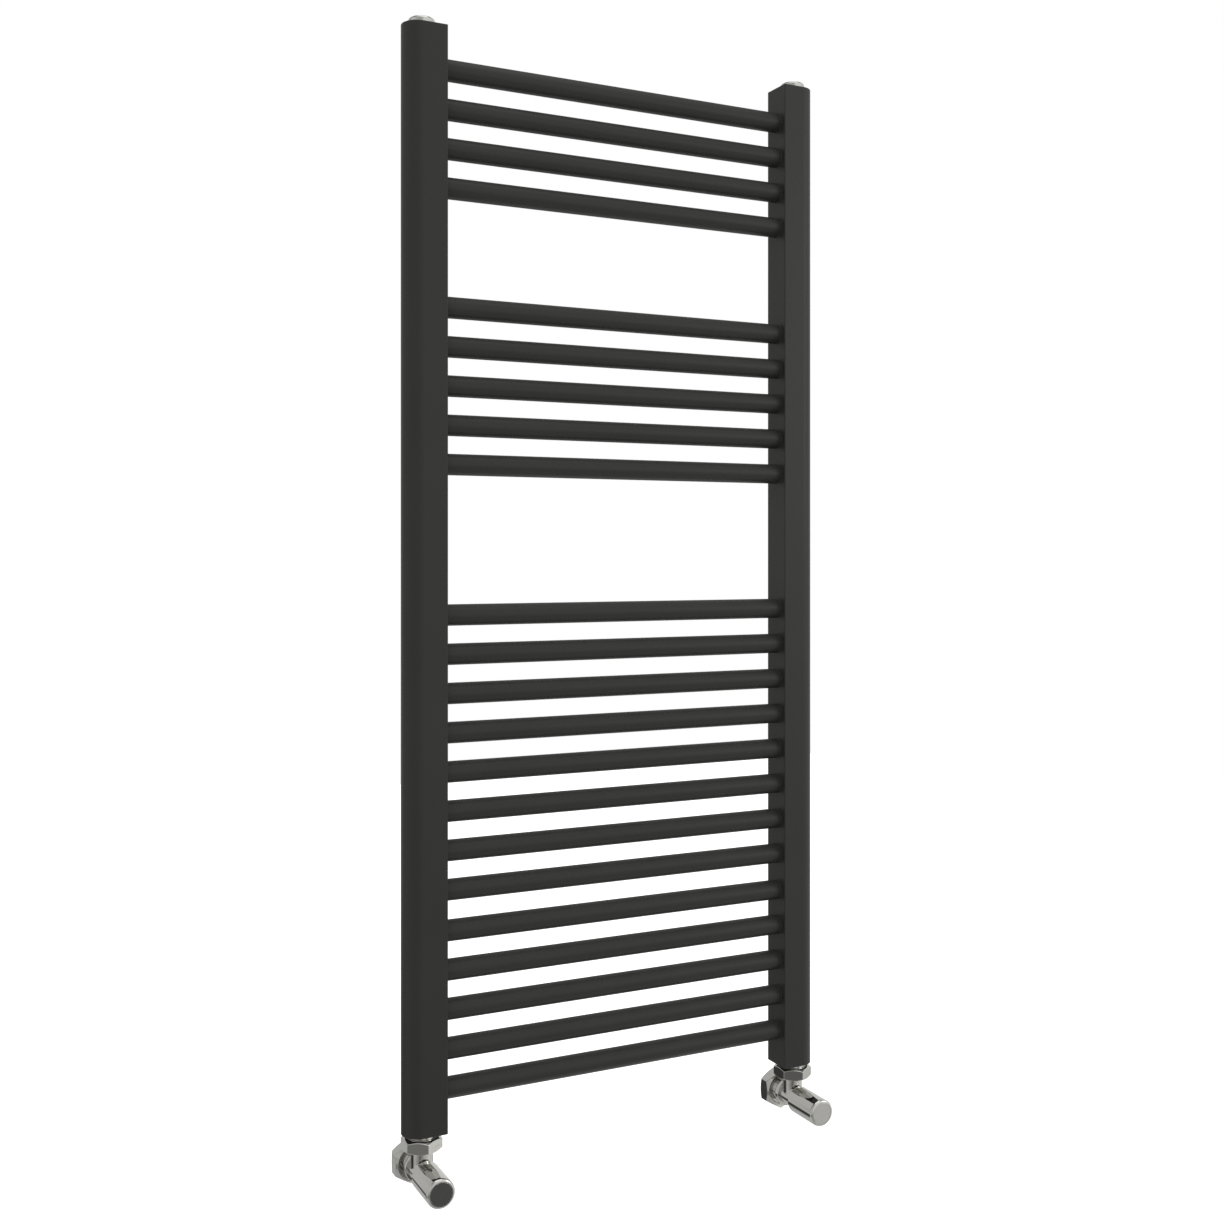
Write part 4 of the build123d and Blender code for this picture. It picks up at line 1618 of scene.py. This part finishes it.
# ---------------------------------------------------------------- valve: bonnet and handle
@dataclass(frozen=True)
class Bonnet:
    """The sleeve screwed into the body's front; sizes in millimetres from the valve's axes."""

    thread: float = 17.9
    thread_back: float = -4.0
    face: float = -11.5
    flange: float = 21.8
    flange_front: float = -12.7
    seal_outer: float = 20.7
    seal_inner: float = 18.3
    seal_depth: float = 0.75
    sleeve: float = 14.0
    front: float = -36.0
    wide_bore: float = 9.1
    wide_end: float = -22.0
    narrow_bore: float = 7.1
    hexagon: HexNut = HexNut(17.0, -19.0, -11.9, edge=0.2)

    def build(self, workshop: Workshop) -> None:
        """Builds both bonnets.

        Args:
            workshop: Dresses the pieces.
        """
        origin = valve_axis(Side.LEFT)
        outline = [
            Corner(self.wide_bore / 2, self.thread_back),
            Corner(self.thread / 2, self.thread_back, 0.5),
            Corner(self.thread / 2, self.face),
            Corner(self.seal_inner / 2, self.face),
            Corner(self.seal_inner / 2, self.face - self.seal_depth),
            Corner(self.seal_outer / 2, self.face - self.seal_depth),
            Corner(self.seal_outer / 2, self.face),
            Corner(self.flange / 2, self.face, 0.15),
            Corner(self.flange / 2, self.flange_front, 0.3),
            Corner(self.sleeve / 2, self.flange_front),
            Corner(self.sleeve / 2, self.front, 0.7),
            Corner(self.narrow_bore / 2, self.front, 0.2),
            Corner(self.narrow_bore / 2, self.wide_end),
            Corner(self.wide_bore / 2, self.wide_end),
        ]
        bonnet = Bench.turned("chromed_left_bonnet", outline, origin, AXIS_Y, segments=72)
        inside = self.sleeve / 2 - 0.5
        bore = [Corner(inside, self.hexagon.high), Corner(inside, self.hexagon.low)]
        hexagon = self.hexagon.build("hexagon", bore, origin, AXIS_Y, AXIS_Z)
        Bench.combine(bonnet, hexagon, "UNION")
        twin = Bench.copy(bonnet, "chromed_right_bonnet", valve_axis(Side.RIGHT) - origin)
        for piece, side in ((bonnet, Side.LEFT), (twin, Side.RIGHT)):
            workshop.hand_over(piece, Slot.CHROME, side, "radiator", f"{side.label}_bonnet")


@dataclass(frozen=True)
class Handle:
    """The cylindrical handle and the disc in its front; sizes in millimetres from the valve's axes."""

    diameter: float = 29.8
    back: float = -13.0
    front: float = -59.2
    rim: float = 2.7
    skirt_bore: float = 25.8
    web_back: float = -40.5
    web_front: float = -49.0
    pocket: float = 20.0
    recess: float = 23.6
    recess_depth: float = 1.8
    square: float = 5.1
    square_front: float = -45.0
    screw_hole: float = 3.3
    disc: float = 23.4
    disc_edge: float = 0.25

    def build(self, workshop: Workshop) -> None:
        """Builds both handles and their end discs.

        Args:
            workshop: Dresses the pieces.
        """
        origin = valve_axis(Side.LEFT)
        shell = self.shell(origin)
        disc = self.end_disc(origin)
        across = valve_axis(Side.RIGHT) - origin
        pieces = {
            (Side.LEFT, "handwheel"): shell,
            (Side.LEFT, "handle_cap"): disc,
            (Side.RIGHT, "handwheel"): Bench.copy(shell, "chromed_right_handwheel", across),
            (Side.RIGHT, "handle_cap"): Bench.copy(disc, "chromed_right_handle_cap", across),
        }
        for (side, node), piece in pieces.items():
            workshop.hand_over(piece, Slot.CHROME, side, f"{side.label}_handle", f"{side.label}_{node}")

    def shell(self, origin: Vector) -> bpy.types.Object:
        """Builds the handle's shell with its web, square hole and screw hole.

        Args:
            origin: Where the valve's two axes cross.

        Returns:
            The shell.
        """
        recess_floor = self.front + self.recess_depth
        outline = [
            Corner(self.screw_hole / 2, self.web_front),
            Corner(self.pocket / 2, self.web_front, 0.6),
            Corner(self.pocket / 2, recess_floor),
            Corner(self.recess / 2, recess_floor),
            Corner(self.recess / 2, self.front),
            Corner(self.diameter / 2, self.front, self.rim),
            Corner(self.diameter / 2, self.back, 0.5),
            Corner(self.skirt_bore / 2, self.back, 0.3),
            Corner(self.skirt_bore / 2, self.web_back, 1.0),
            Corner(self.screw_hole / 2, self.web_back),
        ]
        shell = Bench.turned("chromed_left_handwheel", outline, origin, AXIS_Y, segments=128)
        seat = origin + AXIS_Y * self.square_front * MM
        past_web = origin + AXIS_Y * (self.web_back + 1) * MM
        Bench.drilled(shell, seat, past_web, self.square * math.sqrt(2), sides=4)
        return shell

    def end_disc(self, origin: Vector) -> bpy.types.Object:
        """Builds the disc that closes the handle's front.

        Args:
            origin: Where the valve's two axes cross.

        Returns:
            The disc.
        """
        back = self.front + self.recess_depth
        outline = [
            Corner(0, self.front),
            Corner(self.disc / 2, self.front, self.disc_edge),
            Corner(self.disc / 2, back),
            Corner(0, back),
        ]
        return Bench.turned("chromed_left_handle_cap", outline, origin, AXIS_Y, closed=False, segments=128)


# ---------------------------------------------------------------- pieces kept from the frame
class KeptNodes:
    """The CAD nodes whose own shape stays, and what each is made of."""

    SINGLE = {"tapping_seals": Slot.RUBBER, "vent_seal": Slot.RUBBER}
    PAIRS = {
        "tailpiece": Slot.BRASS,
        "olive": Slot.BRASS,
        "spindle": Slot.BRASS,
        "clack": Slot.BRASS,
        "handle_screw": Slot.STEEL,
        "bonnet_seal": Slot.RUBBER,
        "spindle_seal": Slot.RUBBER,
        "clack_washer": Slot.RUBBER,
    }

    def build(self, workshop: Workshop) -> None:
        """Dresses them.

        Args:
            workshop: Gives the finishes.
        """
        for node, slot in self.SINGLE.items():
            workshop.dress_node(node, slot, Side.LEFT)
        for node, slot in self.PAIRS.items():
            for side in Side:
                workshop.dress_node(f"{side.label}_{node}", slot, side)


# ---------------------------------------------------------------- stage, light and camera
class Studio:
    """The floor, the surround, the lamps and the camera; sizes in metres."""

    FLOOR_DROP = 0.35
    FLOOR_SIZE = 9.0
    FLOOR_GLOW = 0.55
    AMBIENT = 1.2
    TINT = (1.0, 1.0, 0.985)
    LAMPS = (
        ("key", (3.6, -3.3, 0.9), 1.9, 30.0),
        ("fill", (-3.0, -2.6, 0.6), 2.4, 2.0),
        ("overhead", (0.0, -0.9, 3.4), 2.8, 18.0),
    )
    CAMERA_PLACE = (-0.69016, -1.36813, 0.02677)
    CAMERA_TURN = (math.radians(90), 0, math.radians(-26.486))
    CAMERA_LENS = 41.69
    CAMERA_SHIFT = -0.0484
    FLOOR_TONES = (
        (-180, 0.80),
        (-130, 0.50),
        (-80, 0.50),
        (-40, 0.80),
        (0, 0.95),
        (50, 0.95),
        (80, 0.55),
        (130, 0.56),
        (180, 0.80),
    )
    SCREEN_TONES = (
        (-180, 0.60),
        (-165, 0.50),
        (-131, 0.23),
        (-116, 0.14),
        (-100, 0.45),
        (-80, 0.60),
        (-76, 0.10),
        (-66, 0.10),
        (-62, 0.60),
        (-30, 0.88),
        (-11, 0.88),
        (4, 0.68),
        (12, 0.95),
        (28, 0.95),
        (38, 0.12),
        (51, 0.12),
        (55, 0.70),
        (61, 0.70),
        (64, 0.10),
        (67, 0.10),
        (70, 0.60),
        (98, 0.56),
        (109, 0.54),
        (111, 0.06),
        (150, 0.04),
        (160, 0.40),
        (170, 0.60),
    )
    WALL_TONES = (
        (-180, 0.75),
        (-150, 0.60),
        (-125, 0.50),
        (-104, 0.62),
        (-88, 1.00),
        (-45, 1.00),
        (-20, 0.88),
        (20, 0.80),
        (50, 0.82),
        (66, 0.82),
        (72, 0.62),
        (128, 0.64),
        (133, 0.45),
        (146, 0.45),
        (154, 0.72),
        (180, 0.75),
    )
    OVERHEAD_TONES = ((-170, 0.15), (-160, 0.90), (-25, 0.90), (-10, 0.15))
    CEILING_TONES = ((-180, 0.90), (180, 0.90))
    BANDS = (
        (SCREEN_TONES, -32.0, 3.0),
        (WALL_TONES, -17.5, 2.0),
        (OVERHEAD_TONES, 48.0, 5.0),
        (CEILING_TONES, 66.0, 3.0),
    )

    def build(self) -> None:
        """Builds all of them."""
        self.floor()
        self.surround()
        self.lamps()
        self.camera()

    def floor(self) -> None:
        """Lays a pale floor well under the valves."""
        Bench.deselect()
        height = cad_box[0][2] - self.FLOOR_DROP
        bpy.ops.mesh.primitive_grid_add(
            x_subdivisions=12, y_subdivisions=12, size=self.FLOOR_SIZE, location=(0, 0, height)
        )
        floor = bpy.context.object
        floor.name = floor.data.name = "studio_floor"
        Bench.settle(floor)
        floor.visible_glossy = False
        material = bpy.data.materials.new("pale_floor")
        material.use_nodes = True
        nodes = Nodes(material.node_tree)
        place = nodes.add("TexCoord").outputs["Object"]
        noise = nodes.add("TexNoise", {}, {"Vector": place, "Scale": 3.0, "Detail": 3.0})
        paint = mixed(nodes, noise.outputs["Fac"], (0.70, 0.70, 0.69), (0.74, 0.74, 0.73))
        diffuse = nodes.add("BsdfDiffuse", {}, {"Color": paint})
        lift = nodes.add("Emission", {}, {"Color": (1, 1, 1, 1), "Strength": self.FLOOR_GLOW})
        lifted = nodes.add("AddShader", {}, {0: diffuse.outputs[0], 1: lift.outputs[0]})
        path = nodes.add("LightPath")
        seen = nodes.math("MAXIMUM", path.outputs["Is Camera Ray"], path.outputs["Is Glossy Ray"])
        seen = nodes.math("MAXIMUM", seen, path.outputs["Is Transmission Ray"])
        shader = nodes.add("MixShader", {}, {0: seen, 1: diffuse.outputs[0], 2: lifted.outputs[0]})
        nodes.add("OutputMaterial", {}, {"Surface": shader.outputs[0]})
        floor.data.materials.append(material)

    def surround(self) -> None:
        """Sets the white background, and the studio's dark screens that polished metal mirrors before it."""
        world = bpy.data.worlds.new("soft studio")
        world.use_nodes = True
        bpy.context.scene.world = world
        nodes = Nodes(world.node_tree)
        direction = nodes.add("TexCoord").outputs["Generated"]
        split = nodes.add("SeparateXYZ", {}, {0: direction})
        bearing = nodes.math("ARCTAN2", split.outputs["Y"], split.outputs["X"])
        turn = nodes.add("MapRange", {}, {0: bearing, 1: -math.pi, 2: math.pi, 3: 0.0, 4: 1.0}).outputs[0]
        tone = self.band(nodes, turn, self.FLOOR_TONES)
        for tones, height, fade in self.BANDS:
            edge = [math.sin(math.radians(height + shift)) for shift in (-fade, fade)]
            above = nodes.add("MapRange", {}, {0: split.outputs["Z"], 1: edge[0], 2: edge[1], 3: 0.0, 4: 1.0})
            upper = self.band(nodes, turn, tones)
            level = nodes.add("Mix", {"data_type": "RGBA"}, {"Factor": above.outputs[0], 6: tone, 7: upper})
            tone = level.outputs[2]
        mirrored = nodes.add("Background", {}, {"Color": tone, "Strength": 1.0})
        ambient = nodes.add("Background", {}, {"Color": (1, 1, 1, 1), "Strength": self.AMBIENT})
        white = nodes.add("Background", {}, {"Color": (1, 1, 1, 1), "Strength": 1.0})
        path = nodes.add("LightPath")
        seen = nodes.math("MAXIMUM", path.outputs["Is Camera Ray"], path.outputs["Is Transmission Ray"])
        glossy = nodes.add(
            "MixShader", {}, {0: path.outputs["Is Glossy Ray"], 1: ambient.outputs[0], 2: mirrored.outputs[0]}
        )
        shown = nodes.add("MixShader", {}, {0: seen, 1: glossy.outputs[0], 2: white.outputs[0]})
        nodes.add("OutputWorld", {}, {"Surface": shown.outputs[0]})

    @staticmethod
    def band(nodes: Nodes, turn: bpy.types.NodeSocket, tones: Sequence[tuple[int, float]]) -> bpy.types.NodeSocket:
        """Paints one band of the mirrored studio by bearing.

        Args:
            nodes: The world's node adder.
            turn: The bearing, from 0 at -180 degrees to 1 at 180 degrees, with 0 degrees along X.
            tones: The bearings in degrees and their tones.

        Returns:
            The band's colour.
        """
        ramp = nodes.add("ValToRGB", {}, {0: turn})
        elements = ramp.color_ramp.elements
        while len(elements) < len(tones):
            elements.new(0.5)
        for element, (bearing, tone) in zip(elements, tones):
            element.position = (bearing + 180) / 360
            element.color = (*(tone * tint for tint in Studio.TINT), 1.0)
        return ramp.outputs[0]

    def lamps(self) -> None:
        """Hangs soft lamps: a key on the right, a fill on the left and one overhead."""
        for name, place, size, watts in self.LAMPS:
            self.lamp(name, place, size, watts)

    @staticmethod
    def lamp(name: str, place: tuple[float, float, float], size: float, watts: float) -> None:
        """Hangs one square area lamp, aimed at the radiator's middle.

        Args:
            name: The lamp's name.
            place: Its place.
            size: Its side.
            watts: Its power.
        """
        Bench.deselect()
        facing = (-Vector(place)).to_track_quat("-Z", "Y").to_euler()
        bpy.ops.object.light_add(type="AREA", location=place, rotation=facing)
        lamp = bpy.context.object
        lamp.name = name
        lamp.data.size = size
        lamp.data.energy = watts

    @staticmethod
    def camera() -> None:
        """Sets the camera: level, to the left of the radiator and a little above its middle."""
        Bench.deselect()
        bpy.ops.object.camera_add(location=Studio.CAMERA_PLACE, rotation=Studio.CAMERA_TURN)
        camera = bpy.context.object
        camera.name = "camera"
        camera.data.sensor_width = 36.0
        camera.data.lens = Studio.CAMERA_LENS
        camera.data.shift_y = Studio.CAMERA_SHIFT
        camera.data.clip_start = 0.01
        bpy.context.scene.camera = camera


def main() -> None:
    """Builds the radiator's pieces in order, then the studio."""
    logging.basicConfig(level=logging.INFO, format="%(name)s: %(message)s")
    bpy.context.scene.view_settings.view_transform = "Standard"
    workshop = Workshop()
    upright = Upright()
    upright.build(workshop)
    EndPlates().build(workshop, upright)
    Rails().build(workshop)
    Plugs().build(workshop)
    UnionJoint().build(workshop)
    ValveBody().build(workshop)
    CompressionJoint().build(workshop)
    Bonnet().build(workshop)
    Handle().build(workshop)
    KeptNodes().build(workshop)
    Studio().build()


if __name__ == "__main__":
    main()
